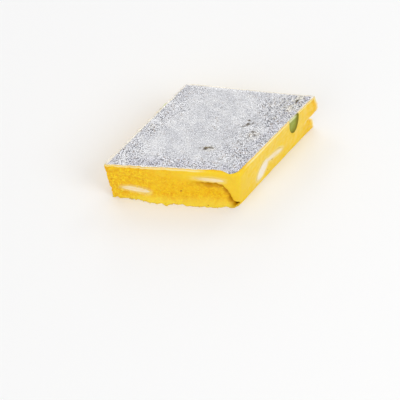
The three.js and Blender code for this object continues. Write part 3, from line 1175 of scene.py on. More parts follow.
@dataclass(frozen=True)
class LeafFinish:
    """Edible silver leaf: thin, crinkled and a little worn through."""

    crease_pitch: float = 1.0
    crease_width: float = 0.09
    crease_drift: Span = (0.9, 3.0)
    crease_bend: tuple[float, float, float] = (2.2, 2.2, 0.0)
    streak_turn: float = math.radians(60.0)
    streak_size: Span = (3.6, 0.55)
    relief: float = 0.06
    speck_pitch: float = 2.4
    speck_size: float = 0.09
    speck_seed: float = 11.0
    clouds: Clouds = Clouds(2.2, 5.0, 0.38, 0.64)
    fine: Clouds = Clouds(0.5, 2.0, 0.36, 0.64)
    grit: Clouds = Clouds(0.38, 1.0, 0.54, 0.6)
    broad: Clouds = Clouds(7.0, 2.0, 0.42, 0.6)
    warm: Clouds = Clouds(1.6, 2.0, 0.52, 0.6)
    silver: Paint = (251, 251, 252)
    shade: Paint = (206, 207, 214)
    # Painted shade in the creases and along the drawn streaks
    crease: Paint = (128, 127, 128)
    # Painted shade in the fine pits, warmer in patches
    pit: Paint = (104, 104, 112)
    warm_pit: Paint = (150, 126, 100)
    # Cream: a painted highlight along the leaf's thin edge
    pale: Paint = (255, 246, 226)
    cool: Paint = (196, 190, 218)
    stain: Paint = (94, 84, 72)
    worn: Paint = (254, 246, 222)

    def creases(self, kit: NodeKit) -> Socket:
        """Fine crossing lines where the leaf has creased and cracked.

        Args:
            kit: The material's kit.

        Returns:
            A mask, 1 on the lines.
        """
        bent = kit.bent(kit.place(), *self.crease_drift, self.crease_bend)
        cells = kit.add("ShaderNodeTexVoronoi", {"Vector": bent, "Scale": 1.0 / self.crease_pitch},
                        feature="DISTANCE_TO_EDGE")
        return kit.ramp(cells.outputs["Distance"], 0.0, self.crease_width, 1.0, 0.0)

    def streaks(self, kit: NodeKit) -> Socket:
        """Fine parallel streaks where the leaf was drawn across the paste.

        Args:
            kit: The material's kit.

        Returns:
            A mask, 1 on the streaks.
        """
        turned_place = kit.add("ShaderNodeMapping", {
            "Vector": kit.place(), "Rotation": (0.0, 0.0, self.streak_turn),
            "Scale": (*self.streak_size, 1.0)}, vector_type="TEXTURE").outputs[0]
        cloud = kit.add("ShaderNodeTexNoise", {"Vector": turned_place, "Scale": 1.0, "Detail": 2.0})
        return kit.ramp(cloud.outputs[0], 0.5, 0.6)

    def material(self) -> bpy.types.Material:
        """Builds the material.

        Returns:
            The material.
        """
        material, kit, shader = new_material("silver_leaf")
        names = ("stain", "worn", "dense", "pale", "cool", "drawn")
        stain, worn, dense, pale, cool, streaked = map(kit.attribute, names)
        fine = self.fine.mask(kit)
        lines = kit.times(self.creases(kit), kit.ramp(dense, 0.0, 1.0, 0.15, 0.3))
        dots = kit.times(fine, kit.ramp(dense, 0.0, 1.0, 0.3, 0.6))
        # Where the pits take their painted shade, most where the leaf is densely creased
        pits = kit.times(self.grit.mask(kit), kit.ramp(dense, 0.0, 1.0, 0.2, 0.95))
        drawn = kit.times(self.streaks(kit), streaked)
        sizes = {"pitch": self.speck_pitch, "size": self.speck_size, "seed": self.speck_seed}
        specks = EFFECTS.use(kit, EFFECTS.specks(), **sizes).outputs[0]
        base = kit.layered(self.silver, (
            (kit.times(self.clouds.mask(kit), 0.45), self.shade),
            (kit.times(self.broad.mask(kit), 0.35), self.shade),
            (kit.ramp(dense, 0.3, 1.0, 0.0, 0.15), self.shade),
            (kit.times(cool, 0.4), self.cool),
            (lines, self.crease),
            (dots, self.shade),
            (worn, self.worn),
            (pits, kit.mix(kit.times(self.warm.mask(kit), 0.8), self.pit, self.warm_pit)),
            (kit.times(drawn, 0.4), self.crease),
            (pale, self.pale),
            (stain, self.stain),
            (kit.times(specks, 0.55), self.stain),
        ))
        bare = kit.math("MAXIMUM", kit.math("MAXIMUM", stain, worn), pale)
        grains = kit.times(dots, kit.ramp(dense, 0.2, 1.0, 1.2, 2.4))
        height = kit.math("SUBTRACT", kit.math("ADD", grains, kit.times(lines, -0.8)), pits)
        height = kit.math("ADD", height, kit.times(drawn, 0.8))
        kit.feed(shader, {
            "Base Color": base,
            "Metallic": kit.math("SUBTRACT", 0.92, kit.times(bare, 0.8)),
            "Roughness": kit.ramp(fine, 0.0, 1.0, 0.2, 0.42),
            "Normal": kit.bump(height, self.relief, 0.9),
        })
        return material


@dataclass(frozen=True)
class NutFinish:
    """The cut face of a nut: its flesh, pale and warm, its seam and the colour of its rim."""

    name: str
    flesh: Paint
    warm: Paint
    seam: Paint
    rim: Paint
    rim_share: float
    roughness: float
    gloss: float = 0.3
    paste: Paint = (214, 218, 164)
    clouds: Clouds = Clouds(1.8, 3.0)
    grain_pitch: float = 0.35
    grain_relief: float = 0.03

    def material(self) -> bpy.types.Material:
        """Builds the material.

        Returns:
            The material.
        """
        material, kit, shader = new_material(self.name)
        warmth, seam, rim, paste = map(kit.attribute, ("warmth", "seam", "rim", "paste"))
        grain = EFFECTS.use(kit, EFFECTS.crumb(), pitch=self.grain_pitch)
        base = kit.layered(self.flesh, (
            (kit.math("ADD", warmth, kit.times(self.clouds.mask(kit), 0.3), clamp=True), self.warm),
            (kit.times(seam, 0.8), self.seam),
            (kit.times(rim, self.rim_share), self.rim),
            (paste, self.paste),
        ))
        kit.feed(shader, {
            "Base Color": base,
            "Normal": kit.bump(grain.outputs["Height"], self.grain_relief, 0.4),
            "Roughness": self.roughness,
            "Specular IOR Level": self.gloss,
            "Subsurface Weight": 0.2,
            "Subsurface Radius": (1.0, 0.8, 0.5),
            "Subsurface Scale": 0.8 * MM,
        })
        return material


CASHEW_FINISH = NutFinish(
    name="cashew_flesh", flesh=(250, 243, 232), warm=(252, 226, 172), seam=(244, 204, 96),
    rim=(247, 212, 96), rim_share=0.85, roughness=0.42)
PISTACHIO_FINISH = NutFinish(
    name="pistachio_flesh", flesh=(170, 184, 92), warm=(148, 152, 52), seam=(120, 138, 52),
    rim=(120, 112, 14), rim_share=1.0, roughness=0.55, gloss=0.06)


def mesh_from(bm: BMesh, name: str) -> bpy.types.Mesh:
    """Makes a mesh from a bmesh.

    Args:
        bm: The bmesh, which is freed.
        name: The mesh's name.

    Returns:
        The mesh.
    """
    mesh = bpy.data.meshes.new(name)
    bm.to_mesh(mesh)
    bm.free()
    return mesh


def placed(name: str, data: bpy.types.ID) -> bpy.types.Object:
    """Makes an object from a mesh, a lamp or a camera and puts it in the scene.

    Args:
        name: The object's name.
        data: What it shows.

    Returns:
        The object.
    """
    made = bpy.data.objects.new(name, data)
    bpy.context.scene.collection.objects.link(made)
    return made


def finish_mesh(name: str, bm: BMesh, masks: Masks,
                flat_faces: Iterable[int] = ()) -> bpy.types.Object:
    """Turns a bmesh in millimetres into a finished object in the frame.

    Args:
        name: The object's name.
        bm: The mesh, which is freed.
        masks: Values for each vertex, by mask name.
        flat_faces: Numbers of the faces that stay flat shaded.

    Returns:
        The object, at the origin, with its place in its mesh.
    """
    bmesh.ops.transform(bm, matrix=Matrix.Scale(MM, 4) @ Matrix.Translation(-FRAME_CENTRE), verts=bm.verts)
    mesh = mesh_from(bm, name)
    mesh.polygons.foreach_set("use_smooth", [True] * len(mesh.polygons))
    for index in flat_faces:
        mesh.polygons[index].use_smooth = False
    for label, values in masks.items():
        mesh.attributes.new(label, "FLOAT", "POINT").data.foreach_set("value", values)
    LOG.info("%s: %d vertices, %d faces", name, len(mesh.vertices), len(mesh.polygons))
    return placed(name, mesh)


@dataclass
class PasteBlock:
    """The diamond of saffron paste, with its cut and broken sides and the pockets of its nuts."""

    plan: Plan
    sides: CutSides
    nuts: tuple[NutCut, ...]
    side_steps: int = 190
    up_steps: int = 64
    pocket_depth: float = 0.45
    pocket_wall: float = 0.25
    groove_depth: float = 0.07
    groove_width: float = 0.16
    halo_reach: float = 1.1
    end_margin: float = 0.5
    side_reach: float = 3.0
    on_outline: float = 1e-6
    end_masks: dict[str, float] = field(default_factory=lambda: {
        "crumbly": 0.5, "heads": 0.5, "foot": 0.0, "gap": 0.0, "rim": 0.0, "scorch": 0.0})
    skin: Optional[BVHTree] = field(default=None, init=False)

    def unit_prism(self) -> BMesh:
        """A unit square drawn up, with its sides in even steps and its two ends whole.

        Returns:
            The prism.
        """
        bm = bmesh.new()
        corners = [bm.verts.new(place) for place in ((0, 0, 0), (1, 0, 0), (1, 1, 0), (0, 1, 0))]
        bm.faces.new(corners)
        bmesh.ops.subdivide_edges(bm, edges=bm.edges[:], cuts=self.side_steps - 1)
        raised = bmesh.ops.extrude_face_region(bm, geom=bm.faces[:])
        verts = [item for item in raised["geom"] if isinstance(item, bmesh.types.BMVert)]
        bmesh.ops.translate(bm, vec=(0, 0, 1), verts=verts)
        uprights = [edge for edge in bm.edges if abs(edge.verts[0].co.z - edge.verts[1].co.z) > 0.5]
        bmesh.ops.subdivide_edges(bm, edges=uprights, cuts=self.up_steps - 1)
        bmesh.ops.recalc_face_normals(bm, faces=bm.faces[:])
        return bm

    def sides_of(self, s: float, t: float) -> list[Side]:
        """The sides that a point of the outline lies on.

        Args:
            s: Share of the way from the left side to the right side.
            t: Share of the way from the front side to the back side.

        Returns:
            The sides, two of them on a corner.
        """
        near, far = self.on_outline, 1.0 - self.on_outline
        tests = ((t < near, Side.FRONT), (s > far, Side.RIGHT), (t > far, Side.BACK), (s < near, Side.LEFT))
        return [side for found, side in tests if found]

    def shape(self) -> tuple[BMesh, Masks]:
        """Moves the prism's points onto the worn sides.

        Returns:
            The mesh in millimetres and its masks.
        """
        bm = self.unit_prism()
        lengths = {side: self.plan.length(side) for side in Side}
        masks: Masks = {name: [] for name in self.end_masks}
        for vert in bm.verts:
            s, t = vert.co.x, vert.co.y
            z = vert.co.z * self.plan.height
            seen: dict[Side, Surface] = {}

            def push(side: Side, share: float) -> float:
                """The worn surface of a side, kept for the masks."""
                seen[side] = self.sides.surface(side, share * lengths[side], z)
                return seen[side].push

            vert.co = self.plan.point(s, t, z, push)
            own = [seen[side] for side in self.sides_of(s, t)]
            for name, values in masks.items():
                values.append(max(getattr(surface, name) for surface in own))
        return bm, masks

    def press_pockets(self, bm: BMesh, rims: list[float]) -> None:
        """Presses the pockets of the nuts into the sides, with a fine groove and a pale halo round each.

        Args:
            bm: The mesh, its points still numbered in order.
            rims: The mask of painted highlight and pale paste, which takes the halos.
        """
        for nut in self.nuts:
            inward = -self.plan.outward(nut.side).to_3d()
            for number, vert in enumerate(bm.verts):
                x, out = self.plan.side_coordinates(nut.side, vert.co)
                if abs(out) > self.side_reach:
                    continue
                outside = nut.outside(x, vert.co.z)
                if outside > self.halo_reach:
                    continue
                rims[number] = max(rims[number], nut.halo * (1.0 - smooth(0.0, self.halo_reach, outside)))
                sunk = self.pocket_depth * (1.0 - smooth(-self.pocket_wall, 0.0, outside))
                sunk += self.groove_depth * math.exp(-((outside / self.groove_width) ** 2))
                vert.co += inward * sunk

    def build(self) -> bpy.types.Object:
        """Builds the paste and keeps its unbroken skin, which the nuts are cut flush with.

        Returns:
            The piece.
        """
        bm, masks = self.shape()
        self.skin = BVHTree.FromBMesh(bm)
        self.press_pockets(bm, masks["rim"])
        ends = [face for face in bm.faces if len(face.verts) > 4]
        outline = len(bm.verts)
        bmesh.ops.inset_region(bm, faces=ends, thickness=self.end_margin, use_even_offset=False)
        bm.verts.index_update()
        bm.faces.index_update()
        added = len(bm.verts) - outline
        for name, value in self.end_masks.items():
            masks[name] += [value] * added
        ends = [face.index for face in bm.faces if len(face.verts) > 4]
        return finish_mesh("saffron_paste", bm, masks, ends)

    def dress(self, piece: bpy.types.Object, finish: bpy.types.Material) -> None:
        """Gives the paste its finish and its place on the body.

        Args:
            piece: The piece.
            finish: Its material.
        """
        piece.data.materials.append(finish)
        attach(piece, BODY)
        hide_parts("barfi_block")


@dataclass
class CutNut:
    """One nut, built from its lobes and cut flush with the paste's skin."""

    cut: NutCut
    plan: Plan
    sides: CutSides
    grow: float = 0.05
    proud: float = 0.05
    crown_width: float = 0.5
    waxy: float = 0.05
    waxing: Drift = Drift(2.0, 40.0)
    seam_depth: float = 0.12
    voxel: float = 0.11
    round_steps: int = 40
    up_steps: int = 24
    dark_side: float = 0.3
    skin_low: float = 7.6
    under_leaf: float = 0.04
    smeared: Span = (0.8, 0.25)
    smeared_to: float = 0.7
    skin_fade: float = 1.5
    skin_far: Span = (-0.5, 0.5)

    def lobe_mesh(self, bm: BMesh, lobe: Lobe) -> None:
        """Adds one bent and tapered ball to the mesh, centred on the side's plane.

        Args:
            bm: The mesh that it joins.
            lobe: The lobe.
        """
        made = bmesh.ops.create_uvsphere(
            bm, u_segments=self.round_steps, v_segments=self.up_steps, radius=1.0)
        run = self.plan.run(self.cut.side).to_3d()
        inward = -self.plan.outward(self.cut.side).to_3d()
        centre = self.plan.place(self.cut.side, lobe.x, lobe.z)
        for vert in made["verts"]:
            end = vert.co.x
            flank = lobe.height / 2.0 * (1.0 + lobe.taper * end) + self.grow
            along = end * (lobe.length / 2.0 + self.grow)
            up = vert.co.z * flank + lobe.bend * end * end
            x, z = turned(along, up, lobe.tilt)
            vert.co = centre + run * x + inward * (vert.co.y * (lobe.depth + self.grow)) + Vector((0, 0, z))

    def joined(self) -> BMesh:
        """The lobes joined into one smooth closed form.

        Returns:
            The form.
        """
        bm = bmesh.new()
        for lobe in self.cut.lobes:
            self.lobe_mesh(bm, lobe)
        mesh = mesh_from(bm, "lobes")
        made = placed("lobes", mesh)
        remesh = made.modifiers.new("join", "REMESH")
        remesh.mode = "VOXEL"
        remesh.voxel_size = self.voxel
        graph = bpy.context.evaluated_depsgraph_get()
        whole = bmesh.new()
        whole.from_object(made, graph)
        bpy.data.objects.remove(made)
        bpy.data.meshes.remove(mesh)
        return whole

    def flush(self, bm: BMesh) -> Masks:
        """Cuts the nut off level with its side and under the leaf.

        Args:
            bm: The nut's mesh.

        Returns:
            The masks of the cut face: its rim, its seam, how warm it is and where paste is smeared on it.
        """
        outward = self.plan.outward(self.cut.side).to_3d()
        masks: Masks = {"rim": [], "seam": [], "warmth": [], "paste": []}
        for vert in bm.verts:
            x, out = self.plan.side_coordinates(self.cut.side, vert.co)
            z = min(vert.co.z, self.plan.height - self.under_leaf)
            depth = -self.cut.outside(x, z)
            crown = self.proud * smooth(0.0, self.crown_width, depth)
            waxy = self.waxy * self.waxing.at(x, z)
            seam = self.cut.seam(x, z)
            level = self.sides.form(self.cut.side, x, z) - self.sides.wear(self.cut.side, x, z)
            level += crown + waxy - self.seam_depth * seam
            vert.co += outward * (min(out, level) - out)
            vert.co.z = z
            masks["rim"].append(self.skin_share(x, z) * (1.0 - smooth(0.0, self.cut.film, depth)))
            masks["seam"].append(seam)
            masks["warmth"].append(self.cut.warmth(x, z))
            masks["paste"].append(self.paste(x, z))
        return masks

    def paste(self, x: float, z: float) -> float:
        """Where the top rim of the paste is smeared over a pistachio, on its near side.

        Args:
            x: Distance along the side.
            z: Height above the base.

        Returns:
            The share of paste, from 0 to 1.
        """
        if self.cut.kernel is Kernel.CASHEW:
            return 0.0
        near = 1.0 - smooth(0.0, self.smeared_to, self.cut.across(x))
        return near * smooth(*(self.plan.height - below for below in self.smeared), z)

    def skin_share(self, x: float, z: float) -> float:
        """How much of its skin the rim shows: all of it, but little on a pistachio's near side and top.

        Args:
            x: Distance along the side.
            z: Height above the base.

        Returns:
            The share, from 0 to 1.
        """
        if self.cut.kernel is Kernel.CASHEW:
            return 1.0
        far = smooth(*self.skin_far, self.cut.across(x))
        low = 1.0 - smooth(self.skin_low, self.skin_low + self.skin_fade, z)
        return self.dark_side + (1.0 - self.dark_side) * max(far, low)

    def build(self) -> bpy.types.Object:
        """Builds the nut.

        Returns:
            The piece.
        """
        bm = self.joined()
        masks = self.flush(bm)
        return finish_mesh(self.cut.node + "_cut", bm, masks)

    def dress(self, piece: bpy.types.Object, finish: bpy.types.Material) -> None:
        """Gives the nut its finish and its place on the body.

        Args:
            piece: The piece.
            finish: Its material.
        """
        piece.data.materials.append(finish)
        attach(piece, BODY)
        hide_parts(self.cut.node)


@dataclass(frozen=True)
class Mark:
    """A tear or a stain in the leaf: a ragged ellipse, turned in degrees."""

    x: float
    y: float
    length: float
    width: float
    turn: float
    strength: float = 1.0
    ragged: float = 0.6
    pitch: float = 0.7

    def ring(self, x: float, y: float) -> float:
        """1 on the ragged outline of the mark, less inside.

        Args:
            x: Distance along the front side.
            y: Distance back from it.

        Returns:
            The ring.
        """
        run, side = turned(x - self.x, y - self.y, -self.turn)
        wander = self.ragged * Drift(self.pitch, self.x).at(x, y)
        return math.hypot(run / (self.length / 2.0), side / (self.width / 2.0)) + wander


TEARS: tuple[Mark, ...] = (
    Mark(31.3, 9.95, 2.0, 0.6, 2.0),
    Mark(42.9, 21.1, 1.1, 0.45, 35.0),
    Mark(57.8, 32.4, 1.5, 0.7, 57.0),
)

STAINS: tuple[Mark, ...] = (
    Mark(30.5, 9.5, 1.5, 1.0, 25.0, 1.0, 0.3),
    Mark(32.2, 10.1, 1.8, 0.9, -20.0, 0.75, 0.3),
    Mark(28.8, 9.7, 0.8, 0.7, 0.0, 0.6, 0.2),
    Mark(35.1, 5.2, 0.8, 0.6, 0.0, 0.4),
    Mark(36.0, 14.2, 1.6, 0.5, 30.0, 0.35),
    Mark(40.4, 13.4, 0.9, 0.4, -60.0, 0.95),
    Mark(41.1, 12.4, 0.9, 0.4, -50.0, 0.9),
    Mark(44.7, 17.8, 1.0, 1.0, 0.0, 0.9, 0.2),
    Mark(45.4, 16.5, 1.5, 0.7, -10.0, 0.75, 0.3),
    Mark(43.3, 22.6, 0.9, 0.85, 0.0, 1.0, 0.2),
    Mark(42.9, 20.7, 2.0, 0.7, 25.0, 0.85, 0.3),
    Mark(41.5, 19.9, 1.7, 0.6, 15.0, 0.7, 0.3),
    Mark(44.4, 21.4, 1.0, 0.6, 40.0, 0.65, 0.3),
    Mark(57.85, 32.5, 1.6, 1.0, 50.0, 0.6),
    Mark(47.9, 25.4, 1.8, 0.35, 50.0, 0.4),
)

WORN_SPOTS: tuple[Mark, ...] = (
    Mark(31.6, 9.7, 4.0, 2.2, 8.0, 0.3),
    Mark(44.8, 16.4, 4.6, 3.6, 60.0, 0.22),
    Mark(55.9, 29.1, 2.6, 1.6, 30.0, 0.55),
    Mark(58.6, 33.8, 3.0, 1.8, 40.0, 0.6),
    Mark(51.2, 24.5, 1.6, 0.8, 40.0, 0.3),
    Mark(18.0, 29.7, 2.4, 1.0, 20.0, 0.25),
    Mark(12.8, 17.3, 1.8, 0.9, 60.0, 0.25),
    Mark(57.7, 25.0, 1.4, 0.8, 0.0, 0.4),
)


def strongest(marks: Iterable[Mark], x: float, y: float, soft: float = 0.35) -> float:
    """The strength of the strongest mark at a place, with soft outlines."""
    return max(mark.strength * (1.0 - smooth(1.0 - soft, 1.0 + soft, mark.ring(x, y))) for mark in marks)


@dataclass
class SilverLeaf:
    """The crinkled silver leaf that lies on the paste and folds a little over its rims."""

    plan: Plan
    sides: CutSides
    steps: int = 168
    lift: float = 0.06
    thickness: float = 0.03
    edge_reach: float = 0.04
    edge_ragged: float = 0.12
    edge_pitch: float = 1.4
    edge_frayed: Span = (0.5, 0.45)
    edge_layers: Span = (7.0, 3.0)
    bare_front: Swell = Swell(33.5, 0.0, 3.6, 1.0, -0.3)
    bare_right: Swell = Swell(1.0, 0.0, 6.0, 1.0, -0.2)
    fold_at_b: Swell = Swell(39.6, 0.0, 2.4, 1.0, 0.9)
    broad: float = 0.05
    broad_pitch: float = 6.5
    creasing: Drift = Drift(5.0, 4.0)
    creasing_shares: Span = (0.2, 0.45)
    dense_rims: tuple[tuple[Side, float, float], ...] = (
        (Side.LEFT, 0.6, 10.0), (Side.FRONT, 0.8, 9.0), (Side.RIGHT, 0.8, 18.0))
    far_wrap: float = 0.36
    edge_cool: float = 6.0
    cool_patches: Drift = Drift(3.0, 14.0)
    cool_levels: Span = (-0.3, 0.3)
    creased_near_c: Swell = Swell(54.0, 27.0, 7.0, 7.0, 0.15)
    drawn_near_c: Swell = Swell(51.5, 27.5, 5.0, 6.0, 1.0)
    drawn_back: float = 0.4
    drawn_run: Span = (26.0, 34.0)
    drawn_patches: Drift = Drift(5.0, 9.0)
    drawn_levels: Span = (-0.1, 0.4)
    worn_near_c: Swell = Swell(56.5, 29.5, 4.0, 4.0, 0.7)
    worn_patches: Drift = Drift(0.8, 16.0)
    worn_levels: Span = (-0.05, 0.3)
    worn_soft: float = 0.6
    crinkle: float = 0.035
    crinkle_pitch: float = 1.25
    fine: float = 0.02
    fine_pitch: float = 0.5
    sharp_shares: Span = (0.35, 0.65)
    fine_shares: Span = (0.3, 0.7)
    curl: float = 0.12
    settle: float = 1.2
    low_edge: float = 0.3
    # The painted highlight along the leaf's edge: its reach, patches, strength and raggedness
    edge_pale: float = 0.5
    pale_patches: Drift = Drift(0.8, 33.0)
    pale_share: float = 0.85
    pale_ragged: float = 1.1
    pale_from_b: Span = (3.0, 7.0)
    lip_width: float = 0.35
    tear_stain: float = 0.7
    tear_fade: float = 3.0

    def edge(self, side: Side, x: float) -> float:
        """How far the leaf runs out past the flat top, along its face.

        Args:
            side: The side.
            x: Distance along the side.

        Returns:
            The reach.
        """
        own = 10.0 * side.number
        fray, fray_pitch = self.edge_frayed
        broad, narrow = self.edge_layers
        reach = self.edge_reach + self.edge_ragged * noise.noise(Vector((x / self.edge_pitch, broad, own)))
        reach += fray * self.edge_ragged * noise.noise(Vector((x / fray_pitch, narrow, own)))
        if side is Side.FRONT:
            reach += self.bare_front.at(x, 0.0) + self.fold_at_b.at(x, 0.0)
        elif side is Side.RIGHT:
            reach += self.bare_right.at(x, 0.0)
        else:
            reach += self.far_wrap
        return reach

    def dense(self, x: float, y: float) -> float:
        """How densely the leaf is creased: most near its left, front and right rims and towards corner c.

        Args:
            x: Distance along the front side.
            y: Distance back from it.

        Returns:
            The density, from 0 to 1.
        """
        rim = max(share * self.near(side, x, y, reach) for side, share, reach in self.dense_rims)
        even, patchy = self.creasing_shares
        creased = even + rim + self.creased_near_c.at(x, y) + patchy * self.creasing.at(x, y)
        return min(1.0, max(0.0, creased))

    def near(self, side: Side, x: float, y: float, reach: float) -> float:
        """How near a place of the leaf is to a side, from 0 at the reach to 1 on the rim."""
        _, out = self.plan.side_coordinates(side, Vector((x, y, 0.0)))
        return 1.0 - smooth(0.0, reach, -out)

    def inside(self, x: float, y: float) -> float:
        """How far a place of the leaf lies inside the rims of the paste.

        Args:
            x: Distance along the front side.
            y: Distance back from it.

        Returns:
            The distance, negative past a rim.
        """
        point = Vector((x, y, 0.0))
        outs = [(side, *self.plan.side_coordinates(side, point)) for side in Side]
        return min(-out - self.sides.top_round(side, along) for side, along, out in outs)

    def cool(self, x: float, y: float) -> float:
        """Where the leaf takes a cool tint, along its front and right rims."""
        rim = max(self.near(side, x, y, self.edge_cool) for side in (Side.FRONT, Side.RIGHT))
        return rim * smooth(*self.cool_levels, self.cool_patches.at(x, y))

    def drawn(self, x: float, y: float) -> float:
        """Where the leaf is streaked, in a band towards corner c and a little along the back.

        Args:
            x: Distance along the front side.
            y: Distance back from it.

        Returns:
            The strength of the streaks.
        """
        patch = smooth(*self.drawn_levels, self.drawn_patches.at(x, y))
        back = self.drawn_back * smooth(*self.drawn_run, y) * patch
        return min(1.0, self.drawn_near_c.at(x, y) + back)

    def wrinkle(self, x: float, y: float) -> float:
        """The height of the leaf's wrinkles, never below 0.

        Args:
            x: Distance along the front side.
            y: Distance back from it.

        Returns:
            The height.
        """
        place = Vector((x, y, 0.0))
        broad = self.broad * (1.0 + noise.noise(place / self.broad_pitch))
        dense = self.dense(x, y)
        ridge = 1.0 - abs(noise.noise(place / self.crinkle_pitch))
        even, creased = self.sharp_shares
        sharp = ridge**3 * self.crinkle * (even + creased * dense)
        even, creased = self.fine_shares
        fine = self.fine * (1.0 + noise.noise(place / self.fine_pitch)) * (even + creased * dense)
        return broad + sharp + fine

    def fold(self, point: Vector) -> Vector:
        """Wraps what runs out past the flat top down over the rounded rim.

        Args:
            point: A point of the flat leaf.

        Returns:
            The point where it ends up.
        """
        for side in Side:
            outward = self.plan.outward(side).to_3d()
            x, out = self.plan.side_coordinates(side, point)
            x = min(max(x, 0.0), self.plan.length(side))
            flat_edge = self.sides.surface(side, x, self.plan.height).push
            past = out - flat_edge
            if past <= 0.0:
                continue
            radius = self.sides.top_round(side, x)
            turn = min(past / radius, math.pi / 2.0)
            hang = max(0.0, past - radius * math.pi / 2.0)
            point = point + outward * (flat_edge + radius * math.sin(turn) - out)
            point.z -= radius * (1.0 - math.cos(turn)) + hang
        return point

    def build(self) -> bpy.types.Object:
        """Builds the leaf as one torn, wrinkled and folded sheet.

        Returns:
            The piece.
        """
        bm = bmesh.new()
        bmesh.ops.create_grid(bm, x_segments=self.steps, y_segments=self.steps, size=0.5)
        flat_push: dict[tuple[Side, float], float] = {}

        def push(side: Side, share: float) -> float:
            """Where the leaf's edge lies against the side's plane.

            Args:
                side: The side.
                share: Share of the side's length.

            Returns:
                The push out of the side's plane.
            """
            key = (side, round(share, 6))
            if key not in flat_push:
                x = share * self.plan.length(side)
                flat_push[key] = self.sides.surface(side, x, self.plan.height).push + self.edge(side, x)
            return flat_push[key]

        places: dict[bmesh.types.BMVert, tuple[float, float]] = {}
        for vert in bm.verts:
            s, t = vert.co.x + 0.5, vert.co.y + 0.5
            flat = self.plan.point(s, t, self.plan.height, push)
            places[vert] = (flat.x, flat.y)
            vert.co = self.fold(flat)
        rings: dict[bmesh.types.BMVert, float] = {}
        for vert, (x, y) in places.items():
            rings[vert] = min(tear.ring(x, y) for tear in TEARS)
            lip = self.curl * math.exp(-(((rings[vert] - 1.0) / self.lip_width) ** 2))
            raised = self.low_edge + (1.0 - self.low_edge) * smooth(0.0, self.settle, self.inside(x, y))
            vert.co.z += raised * (self.lift + self.wrinkle(x, y)) + lip
        torn = [face for face in bm.faces if sum(rings[v] < 1.0 for v in face.verts) >= 3]
        bmesh.ops.delete(bm, geom=torn, context="FACES")
        bmesh.ops.recalc_face_normals(bm, faces=bm.faces[:])
        if sum(face.normal.z for face in bm.faces) < 0.0:
            bmesh.ops.reverse_faces(bm, faces=bm.faces[:])
        left = [places[vert] for vert in bm.verts]
        gaps = [max(0.0, rings[vert] - 1.0) for vert in bm.verts]
        near_tear = [self.tear_stain * math.exp(-gap * self.tear_fade) for gap in gaps]
        masks = {"stain": [max(near, strongest(STAINS, x, y)) for near, (x, y) in zip(near_tear, left)]}
        measures = {"worn": self.worn, "dense": self.dense, "drawn": self.drawn, "cool": self.cool,
                    "pale": self.pale_edge}
        for name, measure in measures.items():
            masks[name] = [measure(x, y) for x, y in left]
        piece = finish_mesh("silver_leaf_sheet", bm, masks)
        shell = piece.modifiers.new("thickness", "SOLIDIFY")
        shell.thickness = self.thickness * MM
        shell.offset = -1.0
        return piece

    def worn(self, x: float, y: float) -> float:
        """Where the leaf has worn thin, towards corner c and in a few faint patches."""
        broken = smooth(*self.worn_levels, self.worn_patches.at(x, y))
        return max(self.worn_near_c.at(x, y) * broken, strongest(WORN_SPOTS, x, y, self.worn_soft))

    def pale_edge(self, x: float, y: float) -> float:
        """A painted highlight along the leaf's thin edge, except where it folds over corner b.

        Args:
            x: Distance along the front side.
            y: Distance back from it.

        Returns:
            The strength of the painted highlight.
        """
        away = smooth(*self.pale_from_b, math.hypot(x - self.plan.front_side, y))
        reach = self.edge_pale * (self.pale_ragged + self.pale_patches.at(x, y))
        return self.pale_share * away * (1.0 - smooth(0.0, reach, self.inside(x, y)))

    def dress(self, piece: bpy.types.Object, finish: bpy.types.Material) -> None:
        """Gives the leaf its finish and its place on the body.

        Args:
            piece: The piece.
            finish: Its material.
        """
        piece.data.materials.append(finish)
        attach(piece, BODY)
        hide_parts("silver_leaf")


@dataclass(frozen=True)
class Fleck:
    """A fleck of saffron, in a side or, with no side, on the top under a tear in the leaf."""

    side: Optional[Side]
    x: float
    z: float
    length: float
    width: float
    turn: float


FLECKS: tuple[Fleck, ...] = (
    Fleck(Side.FRONT, 23.8, 4.5, 0.7, 0.6, 20.0),
    Fleck(Side.FRONT, 32.5, 0.5, 0.5, 0.45, 70.0),
    Fleck(Side.RIGHT, 17.9, 5.1, 0.55, 0.35, -20.0),
    Fleck(Side.RIGHT, 15.6, 2.2, 0.4, 0.3, 10.0),
    Fleck(Side.BACK, 24.5, 10.2, 0.6, 0.35, 35.0),
    Fleck(Side.BACK, 9.0, 4.0, 0.5, 0.35, -15.0),
    Fleck(Side.LEFT, 20.5, 5.0, 0.6, 0.4, 50.0),
    Fleck(Side.LEFT, 35.0, 9.0, 0.5, 0.3, -40.0),
    Fleck(None, 30.75, 9.8, 1.2, 0.8, 25.0),
    Fleck(None, 32.0, 10.1, 1.6, 0.55, -18.0),
    Fleck(None, 42.9, 21.3, 1.1, 0.5, 50.0),
    Fleck(None, 57.6, 32.1, 1.0, 0.5, 60.0),
    Fleck(None, 58.0, 32.7, 0.7, 0.45, 20.0),
)


